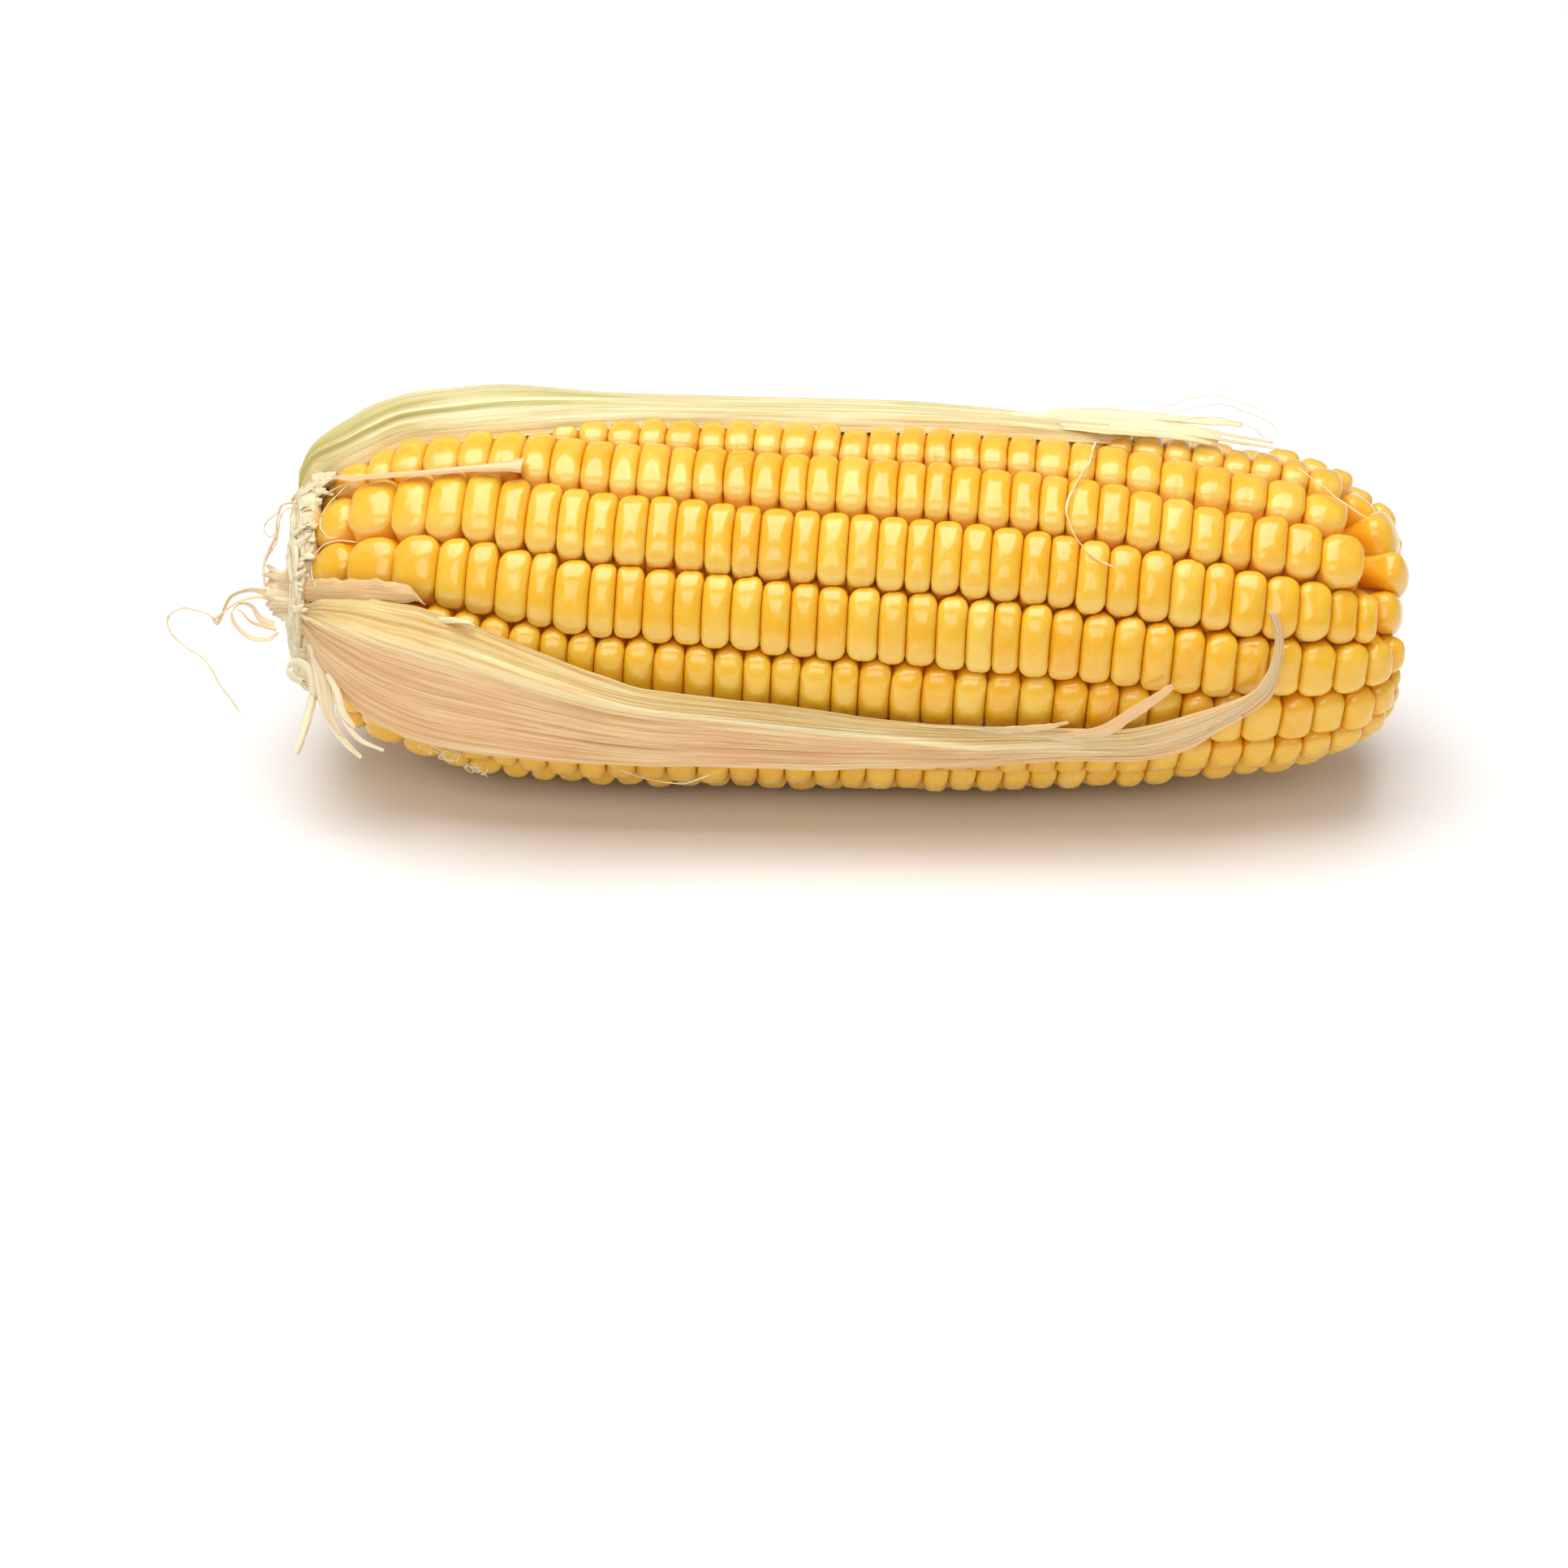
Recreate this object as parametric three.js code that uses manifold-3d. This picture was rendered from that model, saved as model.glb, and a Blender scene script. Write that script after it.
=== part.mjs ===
// A husked ear of sweet corn lying on its side, with the husk leaves that were left on it.
// Millimetres, +Z up. The ear lies along X: the butt (stalk end) is at -X and the trimmed tip at +X.
// Bearings about the ear's axis are in degrees: 0 faces the front (-Y), 90 faces down, -90 faces up, 180 faces the back.
import * as THREE from "three";
import { mergeVertices } from "three/addons/utils/BufferGeometryUtils.js";
import Module from "manifold-3d";

// ---------------------------------------------------------------- driving dimensions
const ROWS = 16; // rows of kernels round the ear
const ROW_GAP = 0.3; // clear gap between neighbouring rows and to the core
const PITCH_MID = 3.95; // kernel spacing along a row, at mid length
const LEAF_T = 0.7; // thickness of a husk leaf
const SILK_R = 0.3; // radius of a silk thread
const SHANK_R = 8.6; // radius of the cut stalk stub
const BUTT_X = -76.6; // plane of the cut stalk

// Crown profile of the ear: distance along the axis, and radius over the kernels.
const PROFILE = [
  [-74.6, 11.4], [-72.8, 13.6], [-71.4, 16.0], [-68.6, 18.5], [-63.0, 21.0], [-56.6, 23.0], [-50.6, 24.3],
  [-39.6, 25.3], [-23.1, 25.5], [-6.6, 25.5], [15.4, 25.4], [26.4, 24.9], [38.5, 23.9],
  [48.4, 22.7], [59.7, 20.9], [66.0, 18.8], [70.2, 16.2], [72.8, 13.0], [73.9, 10.6],
];
// Bearing of the seam between the first and the last row, along the axis: the rows wind slowly round the ear.
const TWIST = [
  [-80, -53], [-69.3, -50], [-56, -45.8], [-40.5, -40.3], [-24.6, -37], [-8.8, -33.8],
  [7.5, -31], [23, -28], [39, -22.8], [52, -18], [65, -13.5], [80, -9],
];
// Depth of a kernel from its crown to the core, along the ear's meridian.
const DEPTH = [[0, 6.8], [3, 7.8], [15, 9.6], [31, 10.3], [131, 10.3], [149, 9.4], [163, 8.2]];
// Kernel spacing along the meridian.
const PITCH = [[0, 5.3], [12, 5.2], [21, 4.5], [29, PITCH_MID], [121, 3.9], [141, 4.3], [163, 4.8]];
const MOST_TILT = [-46, 62]; // how far a kernel leans towards the butt and towards the tip, degrees

// Width of each row about the axis, in degrees, from the row below the reference seam and on round underneath.
const ROW_WIDTH = [24.0, 22.7, ...Array(11).fill(22.1), 22.3, 23.2, 24.6];
// Towards the butt the rows above the reference seam are wider: how far each seam moves there, in degrees, by seam number.
const BUTT_SHIFT = [0, 0, 0, 0, 0, 0, -1.2, -2.6, -4.2, -6.0, -8.0, -9.8, -11.2, -11.8, -9.6, -3.8, 0];
// Grooves between the kernels of the six front rows: place along the axis, by row number.
const GROOVES = {
  14: [-70.1, -66.2, -62.3, -58.5, -54.5, -50.5, -46.2, -41.9, -37.8, -33.9, -29.6, -26.1, -21.7, -18.2, -14.3, -10.6, -6.3, -2.8, 0.9, 4.8, 8.5, 11.9, 15.8, 19.5, 23.3, 27.8, 31.3, 35.4, 39.9, 44.6, 49.2, 54.1, 59.2, 63.9],
  15: [-71.6, -66.5, -63.0, -58.7, -53.7, -49.4, -45.0, -41.1, -36.9, -33.0, -29.3, -25.3, -22.0, -18.0, -14.2, -10.4, -6.9, -3.0, 1.1, 5.0, 8.7, 12.0, 15.9, 20.0, 23.8, 27.4, 31.6, 35.5, 39.9, 44.0, 48.2, 52.0, 56.5, 61.2, 65.8],
  16: [-73.8, -68.3, -62.1, -57.2, -52.3, -47.7, -43.7, -39.5, -35.8, -31.9, -27.7, -23.9, -20.0, -16.4, -12.9, -8.6, -5.1, -1.2, 2.7, 6.4, 9.9, 13.7, 17.5, 21.6, 25.3, 29.0, 32.9, 37.1, 41.2, 45.6, 49.4, 53.8, 58.3, 62.7, 67.9],
  1: [-74.0, -68.0, -61.5, -55.6, -51.5, -47.5, -43.1, -39.7, -35.1, -31.6, -27.9, -23.9, -20.2, -16.4, -12.4, -8.6, -5.0, -1.1, 3.0, 6.7, 10.6, 14.5, 18.0, 21.6, 25.5, 29.6, 33.8, 37.8, 41.7, 45.8, 50.0, 54.4, 58.8, 63.5, 68.0],
  2: [-73.6, -68.0, -62.3, -57.9, -53.9, -49.9, -45.9, -41.7, -38.0, -34.4, -30.5, -26.6, -22.5, -18.6, -14.7, -11.1, -7.3, -3.1, 0.4, 4.6, 8.7, 13.0, 17.2, 21.6, 26.1, 30.6, 34.7, 38.8, 43.1, 47.2, 51.4, 56.4, 60.9, 65.2, 69.2],
  3: [-73.2, -67.8, -63.6, -59.2, -54.9, -50.6, -46.5, -42.6, -38.5, -34.6, -30.2, -26.3, -22.6, -19.0, -15.1, -11.1, -6.9, -2.9, 0.6, 4.2, 7.7, 11.3, 15.4, 19.4, 23.2, 27.0, 30.9, 35.0, 39.3, 43.3, 47.4, 51.6, 55.8, 59.6, 63.7, 67.9],
};
const FIRST_X = -73.6; // no row starts nearer to the stalk than this

// ---------------------------------------------------------------- small helpers
const rad = (a) => (a * Math.PI) / 180;
const deg = (a) => (a * 180) / Math.PI;
const clamp = (v, a, b) => Math.min(b, Math.max(a, v));
const mix = (a, b, t) => a + (b - a) * t;

// Smooth curve through a table of [position, value].
function curve(table) {
  const n = table.length;
  const slope = table.map((p, i) => {
    const a = table[Math.max(0, i - 1)], b = table[Math.min(n - 1, i + 1)];
    return (b[1] - a[1]) / (b[0] - a[0]);
  });
  return (x) => {
    if (x <= table[0][0]) return table[0][1];
    if (x >= table[n - 1][0]) return table[n - 1][1];
    let i = 0;
    while (x > table[i + 1][0]) i++;
    const h = table[i + 1][0] - table[i][0], t = (x - table[i][0]) / h;
    const t2 = t * t, t3 = t2 * t;
    return (
      (2 * t3 - 3 * t2 + 1) * table[i][1] + (t3 - 2 * t2 + t) * h * slope[i] +
      (3 * t2 - 2 * t3) * table[i + 1][1] + (t3 - t2) * h * slope[i + 1]
    );
  };
}

// A repeatable stream of numbers from 0 to 1.
function stream(seed) {
  let s = seed >>> 0;
  return () => {
    s = (Math.imul(s, 1664525) + 1013904223) >>> 0;
    return s / 4294967296;
  };
}

// ---------------------------------------------------------------- the ear's meridian
const along = [0];
for (let i = 1; i < PROFILE.length; i++)
  along.push(along[i - 1] + Math.hypot(PROFILE[i][0] - PROFILE[i - 1][0], PROFILE[i][1] - PROFILE[i - 1][1]));
const T_END = along[along.length - 1];
const profileX = curve(PROFILE.map((p, i) => [along[i], p[0]]));
const profileR = curve(PROFILE.map((p, i) => [along[i], p[1]]));
const twist = curve(TWIST);
const depth = curve(DEPTH);
const pitch = curve(PITCH);
const crownR = curve(PROFILE);
const rowEdge = [0];
for (const w of ROW_WIDTH) rowEdge.push(rowEdge[rowEdge.length - 1] + (w * 360) / ROW_WIDTH.reduce((a, b) => a + b, 0));
function edgeAt(k, x) {
  const w = clamp((-34 - x) / 26, 0, 1);
  return rad(rowEdge[k] + BUTT_SHIFT[k] * w * w * (3 - 2 * w));
}
function alongAt(x) {
  let a = 0, b = T_END;
  for (let i = 0; i < 40; i++) {
    const m = (a + b) / 2;
    if (profileX(m) < x) a = m; else b = m;
  }
  return (a + b) / 2;
}

function meridian(t) {
  const x = profileX(t), r = profileR(t);
  const dx = profileX(t + 0.4) - profileX(t - 0.4), dr = profileR(t + 0.4) - profileR(t - 0.4);
  const tilt = rad(clamp(0.8 * deg(Math.atan2(-dr, dx)), MOST_TILT[0], MOST_TILT[1]));
  const d = depth(t);
  return { x, r, tilt, d, bx: x - d * Math.sin(tilt), br: r - d * Math.cos(tilt) };
}

// A point from its place on the meridian, its bearing and its height above the kernel's foot.
function earPoint(m, bearing, h, target = new THREE.Vector3()) {
  const r = m.br + h * Math.cos(m.tilt);
  return target.set(m.bx + h * Math.sin(m.tilt), -Math.cos(bearing) * r, -Math.sin(bearing) * r);
}

// A point at a distance off the crowns, from its place along the axis and its bearing.
function offCrown(x, bearing, off) {
  const r = crownR(x) + off;
  return new THREE.Vector3(x, -Math.cos(rad(bearing)) * r, -Math.sin(rad(bearing)) * r);
}

// ---------------------------------------------------------------- solids from bent primitives
function closed(geometry) {
  geometry.deleteAttribute("normal");
  geometry.deleteAttribute("uv");
  return mergeVertices(geometry, 1e-4);
}

// A cylinder with one ring of `sides` corners at each station, bent so that each ring becomes the outline that place(i, j) gives.
function loft(stations, sides, place) {
  const g = new THREE.CylinderGeometry(1, 1, 1, sides, stations - 1);
  const p = g.attributes.position, v = new THREE.Vector3();
  const centres = [0, stations - 1].map((i) => {
    const c = new THREE.Vector3();
    for (let j = 0; j < sides; j++) c.add(place(i, j));
    return c.divideScalar(sides);
  });
  for (let n = 0; n < p.count; n++) {
    v.fromBufferAttribute(p, n);
    const i = Math.round((0.5 - v.y) * (stations - 1));
    if (Math.hypot(v.x, v.z) < 1e-6) {
      p.setXYZ(n, ...centres[i === 0 ? 0 : 1].toArray());
      continue;
    }
    const j = (Math.round((Math.atan2(v.x, v.z) / (2 * Math.PI)) * sides) + sides) % sides;
    p.setXYZ(n, ...place(i, j).toArray());
  }
  return closed(g);
}

// A flat box with a grid on its faces, bent so that (u, v) of each face lands on sheet(u, v, side), side 0 inside and 1 outside.
function sheetSolid(nu, nv, sheet) {
  const g = new THREE.BoxGeometry(1, 1, 1, nu, nv, 1);
  const p = g.attributes.position;
  for (let n = 0; n < p.count; n++) {
    const q = sheet(p.getX(n) + 0.5, p.getY(n) + 0.5, p.getZ(n) > 0 ? 1 : 0);
    p.setXYZ(n, q.x, q.y, q.z);
  }
  return closed(g);
}

const wasm = await Module();
wasm.setup();
function solid(geometry) {
  const g = closed(geometry.index ? geometry.clone() : geometry);
  const s = new wasm.Manifold(new wasm.Mesh({
    numProp: 3, vertProperties: g.attributes.position.array, triVerts: new Uint32Array(g.index.array),
  }));
  return s;
}
function back(s) {
  const m = s.getMesh();
  const v = new Float32Array(m.numVert * 3);
  for (let i = 0; i < m.numVert; i++)
    v.set(m.vertProperties.subarray(i * m.numProp, i * m.numProp + 3), i * 3);
  return new THREE.BufferGeometry()
    .setAttribute("position", new THREE.BufferAttribute(v, 3))
    .setIndex(new THREE.BufferAttribute(new Uint32Array(m.triVerts), 1));
}
function facingOut(g) {
  const p = g.attributes.position, ix = g.index;
  const a = new THREE.Vector3(), b = new THREE.Vector3(), c = new THREE.Vector3();
  let v = 0;
  for (let i = 0; i < ix.count; i += 3) {
    a.fromBufferAttribute(p, ix.getX(i)); b.fromBufferAttribute(p, ix.getX(i + 1)); c.fromBufferAttribute(p, ix.getX(i + 2));
    v += a.dot(b.cross(c));
  }
  if (v < 0)
    for (let i = 0; i < ix.count; i += 3) {
      const k = ix.getX(i + 1);
      ix.setX(i + 1, ix.getX(i + 2)); ix.setX(i + 2, k);
    }
  return g;
}

// ---------------------------------------------------------------- materials
const material = {
  kernel: new THREE.MeshStandardMaterial({ color: 0xf5b92e, roughness: 0.32, metalness: 0 }),
  core: new THREE.MeshStandardMaterial({ color: 0xe9dcb4, roughness: 0.85, metalness: 0 }),
  leaf: new THREE.MeshStandardMaterial({ color: 0xead9a4, roughness: 0.7, metalness: 0 }),
  collar: new THREE.MeshStandardMaterial({ color: 0xdfe0b8, roughness: 0.8, metalness: 0 }),
  silk: new THREE.MeshStandardMaterial({ color: 0xf0e2b8, roughness: 0.5, metalness: 0 }),
};

const ear = new THREE.Group();
function add(name, geometry, m) {
  const mesh = new THREE.Mesh(geometry, m);
  mesh.name = name;
  ear.add(mesh);
  return mesh;
}

// ---------------------------------------------------------------- kernel rows
// Where each row starts and ends along the meridian: the trimmed tip is uneven.
const ROW_START = [0.4, 0.9, 0.2, 1.3, 0.6, 1.6, 0.3, 1.0, 0.5, 1.4, 0.2, 0.8, 1.1, 0.4, 1.2, 0.0];
const ROW_SHORT = [1.6, 0.6, 2.2, 0.3, 1.4, 2.6, 0.8, 1.8, 0.4, 2.4, 1.2, 0.2, 2.0, 0.9, 0.2, 0.5];

for (let k = 0; k < ROWS; k++) {
  const next = stream(1000 + 77 * k);
  const marks = GROOVES[k + 1]
    ? GROOVES[k + 1].map((x) => alongAt(Math.max(x, FIRST_X))).filter((t) => t < T_END - 2.4)
    : [alongAt(FIRST_X) + ROW_START[k]];
  while (marks[marks.length - 1] < T_END - ROW_SHORT[k] - 2.4)
    marks.push(marks[marks.length - 1] + pitch(marks[marks.length - 1]) * (0.92 + 0.16 * next()));
  marks[marks.length - 1] = Math.min(marks[marks.length - 1], T_END - 0.05);
  const stations = [];
  for (let i = 0; i < marks.length; i++) {
    stations.push([marks[i], 0.9]); // a groove between two kernels
    if (i + 1 < marks.length) stations.push([(marks[i] + marks[i + 1]) / 2, 0]); // the crown of a kernel
  }
  const row = loft(stations.length, 5, (i, j) => {
    const [t, sink] = stations[i];
    const m = meridian(t);
    const half = (edgeAt(k + 1, m.x) - edgeAt(k, m.x)) / 2;
    const mid = rad(twist(m.x)) + edgeAt(k, m.x) + half;
    const [side, h] = [[-1, 0], [-1, m.d - 2.3 - sink], [0, m.d - sink], [1, m.d - 2.3 - sink], [1, 0]][j];
    const r = m.br + h * Math.cos(m.tilt);
    return earPoint(m, mid + side * (half - (ROW_GAP / 2 + 0.02) / r), h);
  });
  add(`kernel_row_${String(k + 1).padStart(2, "0")}`, facingOut(row), material.kernel);
}

// ---------------------------------------------------------------- woody core with the cut stalk stub
const corePoints = [new THREE.Vector2(0, BUTT_X), new THREE.Vector2(SHANK_R, BUTT_X)];
{
  const first = meridian(0), last = meridian(T_END);
  const under = (m) => m.br * Math.cos(Math.PI / ROWS) - ROW_GAP - 0.1;
  corePoints.push(new THREE.Vector2(SHANK_R, first.bx - 2.0));
  const N = 12;
  for (let i = 0; i <= N; i++) {
    const m = meridian((T_END * i) / N);
    corePoints.push(new THREE.Vector2(under(m), m.bx));
  }
  corePoints.push(new THREE.Vector2(under(last) - 0.9, last.bx + 2.6));
  corePoints.push(new THREE.Vector2(0, last.bx + 2.0));
}
const coreShape = new THREE.LatheGeometry(corePoints, 18).rotateZ(-Math.PI / 2);
add("cob_core", facingOut(closed(coreShape)), material.core);

// ---------------------------------------------------------------- collar of torn husk bases round the stalk
{
  const rim = [
    [SHANK_R + 0.35, -75.6], [10.4, -76.4], [12.0, -75.9], [12.9, -75.0], [12.4, -74.7], [11.0, -74.8], [9.9, -73.9], [SHANK_R + 0.35, -73.7],
  ].map(([r, x]) => new THREE.Vector2(r, x));
  rim.push(rim[0].clone());
  add("husk_collar", facingOut(closed(new THREE.LatheGeometry(rim, 24).rotateZ(-Math.PI / 2))), material.collar);
}

// ---------------------------------------------------------------- husk leaves
// A leaf is a table of stations: place along the axis, bearing and clearance off the crowns, for its first edge and then its second.
function leafTable(table) {
  const col = (c) => curve(table.map((row, i) => [i / (table.length - 1), row[c]]));
  const [xa, a, oa, xb, b, ob] = [0, 1, 2, 3, 4, 5].map(col);
  return (u, v) => offCrown(mix(xa(u), xb(u), v), mix(a(u), b(u), v), mix(oa(u), ob(u), v));
}
// An arched leaf has three lines along it, its near edge, crest and far edge: place, bearing and distance from the axis for each.
function archTable(table) {
  const f = table[0].map((_, c) => curve(table.map((row, i) => [i / (table.length - 1), row[c]])));
  return (u, v) => {
    const w = [2 * (v - 0.5) * (v - 1), 4 * v * (1 - v), 2 * v * (v - 0.5)];
    const [x, b, r] = [0, 1, 2].map((c) => f[c](u) * w[0] + f[c + 3](u) * w[1] + f[c + 6](u) * w[2]);
    return new THREE.Vector3(x, -Math.cos(rad(b)) * r, -Math.sin(rad(b)) * r);
  };
}
function leafSolid(mid, nu, nv, thickness = LEAF_T) {
  const e = 1e-3, du = new THREE.Vector3(), dv = new THREE.Vector3();
  return facingOut(sheetSolid(nu, nv, (u, v, side) => {
    const p = mid(u, v);
    du.subVectors(mid(Math.min(1, u + e), v), mid(Math.max(0, u - e), v));
    dv.subVectors(mid(u, Math.min(1, v + e)), mid(u, Math.max(0, v - e)));
    const n = new THREE.Vector3().crossVectors(dv, du).normalize();
    if (n.y * p.y + n.z * p.z < 0) n.negate();
    return p.addScaledVector(n, (side - 0.5) * thickness);
  }));
}
const even = (rows) => leafTable(rows.map(([x, a, b, oa, ob]) => [x, a, oa, x, b, ob]));

const FRONT_LEAF = [
  [-73.5, -22.0, 1.9, -73.8, -3.0, 1.9], [-72.4, -22.6, 1.4, -73.4, 3.5, 1.7], [-71.2, -24.2, 1.3, -72.4, 6.9, 1.5], [-69.3, -24.8, 1.3, -70.7, 10.6, 1.5],
  [-66.7, -25.0, 1.3, -68.8, 15.4, 1.5], [-64.2, -24.8, 1.2, -66.5, 20.0, 1.5], [-61.4, -24.0, 1.2, -63.8, 23.6, 1.5], [-58.1, -23.0, 1.2, -60.5, 26.4, 1.5],
  [-55.3, -21.6, 1.1, -57.2, 27.6, 1.4], [-52.6, -20.2, 1.1, -53.9, 27.6, 1.4], [-49.6, -18.0, 1.1, -50.0, 27.6, 1.3], [-44.7, -13.9, 1.1, -45.1, 27.6, 1.3],
  [-38.3, -9.0, 1.1, -39.1, 28.2, 1.2], [-32.1, -4.1, 1.1, -32.6, 29.0, 1.2], [-25.8, -0.7, 1.1, -26.2, 29.2, 1.2], [-17.7, 1.4, 1.1, -18.6, 28.6, 1.1],
  [-9.8, 3.4, 1.1, -10.5, 29.0, 1.1], [-4.6, 5.0, 1.1, -4.7, 29.3, 1.1], [1.9, 6.9, 1.1, 2.5, 28.0, 1.1], [8.4, 8.3, 1.1, 9.5, 27.0, 1.1],
  [15.8, 9.6, 1.1, 15.9, 26.4, 1.1], [21.1, 9.9, 1.1, 21.3, 25.2, 1.1], [26.5, 10.4, 1.1, 28.0, 24.4, 1.1], [31.3, 11.5, 1.1, 33.1, 24.8, 1.1],
  [35.8, 11.8, 1.0, 37.4, 25.4, 1.0], [39.4, 10.1, 1.0, 40.8, 24.9, 1.0], [44.0, 7.6, 1.0, 44.4, 21.9, 1.0], [48.5, 4.0, 1.0, 47.9, 15.2, 1.0],
  [52.0, -0.1, 1.0, 52.1, 8.0, 1.0], [53.5, -4.3, 1.0, 54.9, 1.2, 1.0], [54.5, -9.9, 1.0, 55.8, -7.6, 1.0], [54.9, -16.2, 1.0, 56.1, -14.8, 1.0],
  [54.8, -21.4, 1.0, 56.0, -21.6, 1.0], [53.8, -27.7, 1.0, 54.9, -27.2, 1.0],
];
const FRONT_SPLIT = [
  [26.5, 11.6, 1.1, 27.6, 16.2, 1.1], [30.2, 10.6, 1.1, 31.3, 14.8, 1.1], [32.9, 8.5, 1.1, 34.0, 12.3, 1.1], [36.1, 3.4, 1.0, 36.5, 7.6, 1.0],
  [39.3, -1.1, 1.0, 39.3, 2.6, 1.0], [41.5, -4.7, 1.1, 41.9, -2.8, 1.1],
];
const BACK_LEAF = [
  [-73.6, -102.0, 17.0, -74.9, -119.0, 19.4, -74.6, -160.0, 17.6], [-71.6, -99.5, 17.9, -72.0, -119.0, 21.9, -72.2, -163.0, 19.8],
  [-69.2, -97.5, 19.1, -69.5, -119.0, 23.4, -69.8, -164.0, 21.2], [-66.8, -97.0, 20.5, -67.0, -119.0, 24.9, -67.2, -164.5, 22.6],
  [-62.8, -99.6, 22.4, -62.8, -119.0, 26.5, -62.8, -164.0, 24.4], [-59.2, -97.4, 23.4, -59.2, -119.0, 27.2, -59.0, -163.0, 25.4],
  [-54.5, -92.8, 24.7, -55.0, -119.0, 27.7, -54.5, -161.0, 26.2], [-49.6, -91.0, 25.5, -49.8, -119.0, 28.2, -49.6, -159.0, 26.6],
  [-43.2, -91.5, 26.2, -43.4, -119.0, 28.1, -43.2, -157.0, 26.8], [-37.0, -93.6, 26.5, -37.0, -119.0, 27.7, -37.0, -155.0, 26.9],
  [-28.5, -95.8, 26.6, -28.5, -119.0, 27.5, -28.5, -152.0, 27.0], [-17.7, -96.5, 26.6, -17.7, -119.0, 27.4, -17.7, -148.0, 27.0],
  [-6.8, -96.1, 26.6, -6.8, -119.0, 27.3, -6.8, -144.0, 27.0], [4.0, -96.0, 26.6, 4.0, -118.0, 27.2, 4.0, -140.0, 27.0],
  [14.0, -96.0, 26.6, 14.0, -117.0, 27.1, 14.0, -136.0, 26.9], [21.1, -95.0, 26.4, 21.0, -116.0, 27.1, 21.0, -133.0, 26.8],
  [27.0, -95.5, 26.2, 27.0, -115.0, 27.0, 27.0, -131.0, 26.6], [31.1, -98.0, 26.0, 31.1, -114.0, 27.0, 31.1, -128.0, 26.5],
  [35.6, -103.0, 26.2, 35.6, -114.5, 27.0, 35.6, -126.0, 26.6], [41.0, -107.0, 26.2, 41.0, -113.0, 26.8, 41.0, -119.0, 26.5],
  [46.0, -109.5, 26.1, 46.0, -112.5, 26.4, 46.0, -115.5, 26.2], [51.0, -111.0, 25.8, 51.0, -113.0, 25.9, 51.0, -115.0, 25.8],
];
const BACK_SPLIT = [
  [28.0, -112, -100, 2.0, 1.6], [35.0, -108, -98.0, 1.7, 1.2], [42.0, -104, -97, 1.4, 1.0], [48.0, -101, -96, 1.3, 1.1], [55.5, -99, -97, 2.1, 2.0],
];
add("husk_leaf_front", facingOut(back(solid(leafSolid(leafTable(FRONT_LEAF), 36, 5)).add(solid(leafSolid(leafTable(FRONT_SPLIT), 8, 2))))), material.leaf);
add("husk_leaf_back", facingOut(back(solid(leafSolid(archTable(BACK_LEAF), 30, 8)).add(solid(leafSolid(even(BACK_SPLIT), 8, 2))))), material.leaf);
// A short inner leaf above the front leaf, and a narrow strip along a seam between two rows.
add("husk_flap", leafSolid(even([
  [-73.4, -33.4, -27.4, 1.2, 1.0], [-70.0, -33.0, -27.4, 1.0, 0.9], [-66.0, -32.4, -27.3, 1.0, 0.9], [-62.5, -31.4, -26.6, 1.0, 0.9], [-58.6, -28.4, -25.6, 1.0, 0.9],
]), 8, 2, 0.5), material.leaf);
add("husk_strip", leafSolid(even([
  [-72.0, -88, -83, 1.0, 1.0], [-69.0, -83, -79, 0.9, 0.9], [-63.0, -76.5, -73.0, 0.8, 0.8], [-56.5, -73.4, -70.6, 0.8, 0.8], [-50.2, -73.0, -69.5, 0.8, 0.8], [-45.0, -74.5, -67.5, 1.4, 1.1],
]), 10, 2, 0.5), material.leaf);

// ---------------------------------------------------------------- shreds of husk hanging at the butt
function strip(points, width, thickness, facing, steps = 10) {
  const path = new THREE.CatmullRomCurve3(points.map((p) => new THREE.Vector3(...p)));
  const across = new THREE.Vector3(), tangent = new THREE.Vector3();
  return facingOut(sheetSolid(steps, 2, (u, v, side) => {
    const p = path.getPoint(u);
    path.getTangent(u, tangent);
    const n = new THREE.Vector3(...facing);
    n.addScaledVector(tangent, -n.dot(tangent)).normalize();
    across.crossVectors(tangent, n);
    const w = width * (u < 0.15 ? 0.7 + 2 * u : 1 - 0.55 * (u - 0.15));
    return p.addScaledVector(across, (v - 0.5) * w).addScaledVector(n, (side - 0.5) * thickness);
  }));
}
add("husk_shred_1", strip([[-75.2, -14.6, -2.6], [-75.6, -16.4, -6.5], [-75.4, -16.6, -10.5], [-76.2, -15.6, -14.6], [-77.4, -14.4, -18.4]], 2.2, 0.5, [-0.3, -1, 0.1]), material.leaf);
add("husk_shred_2", strip([[-74.2, -12.6, -9.4], [-72.8, -14.8, -12.6], [-70.9, -15.0, -16.2], [-68.6, -13.6, -19.4]], 1.7, 0.5, [-0.5, -0.8, -0.4]), material.leaf);

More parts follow.
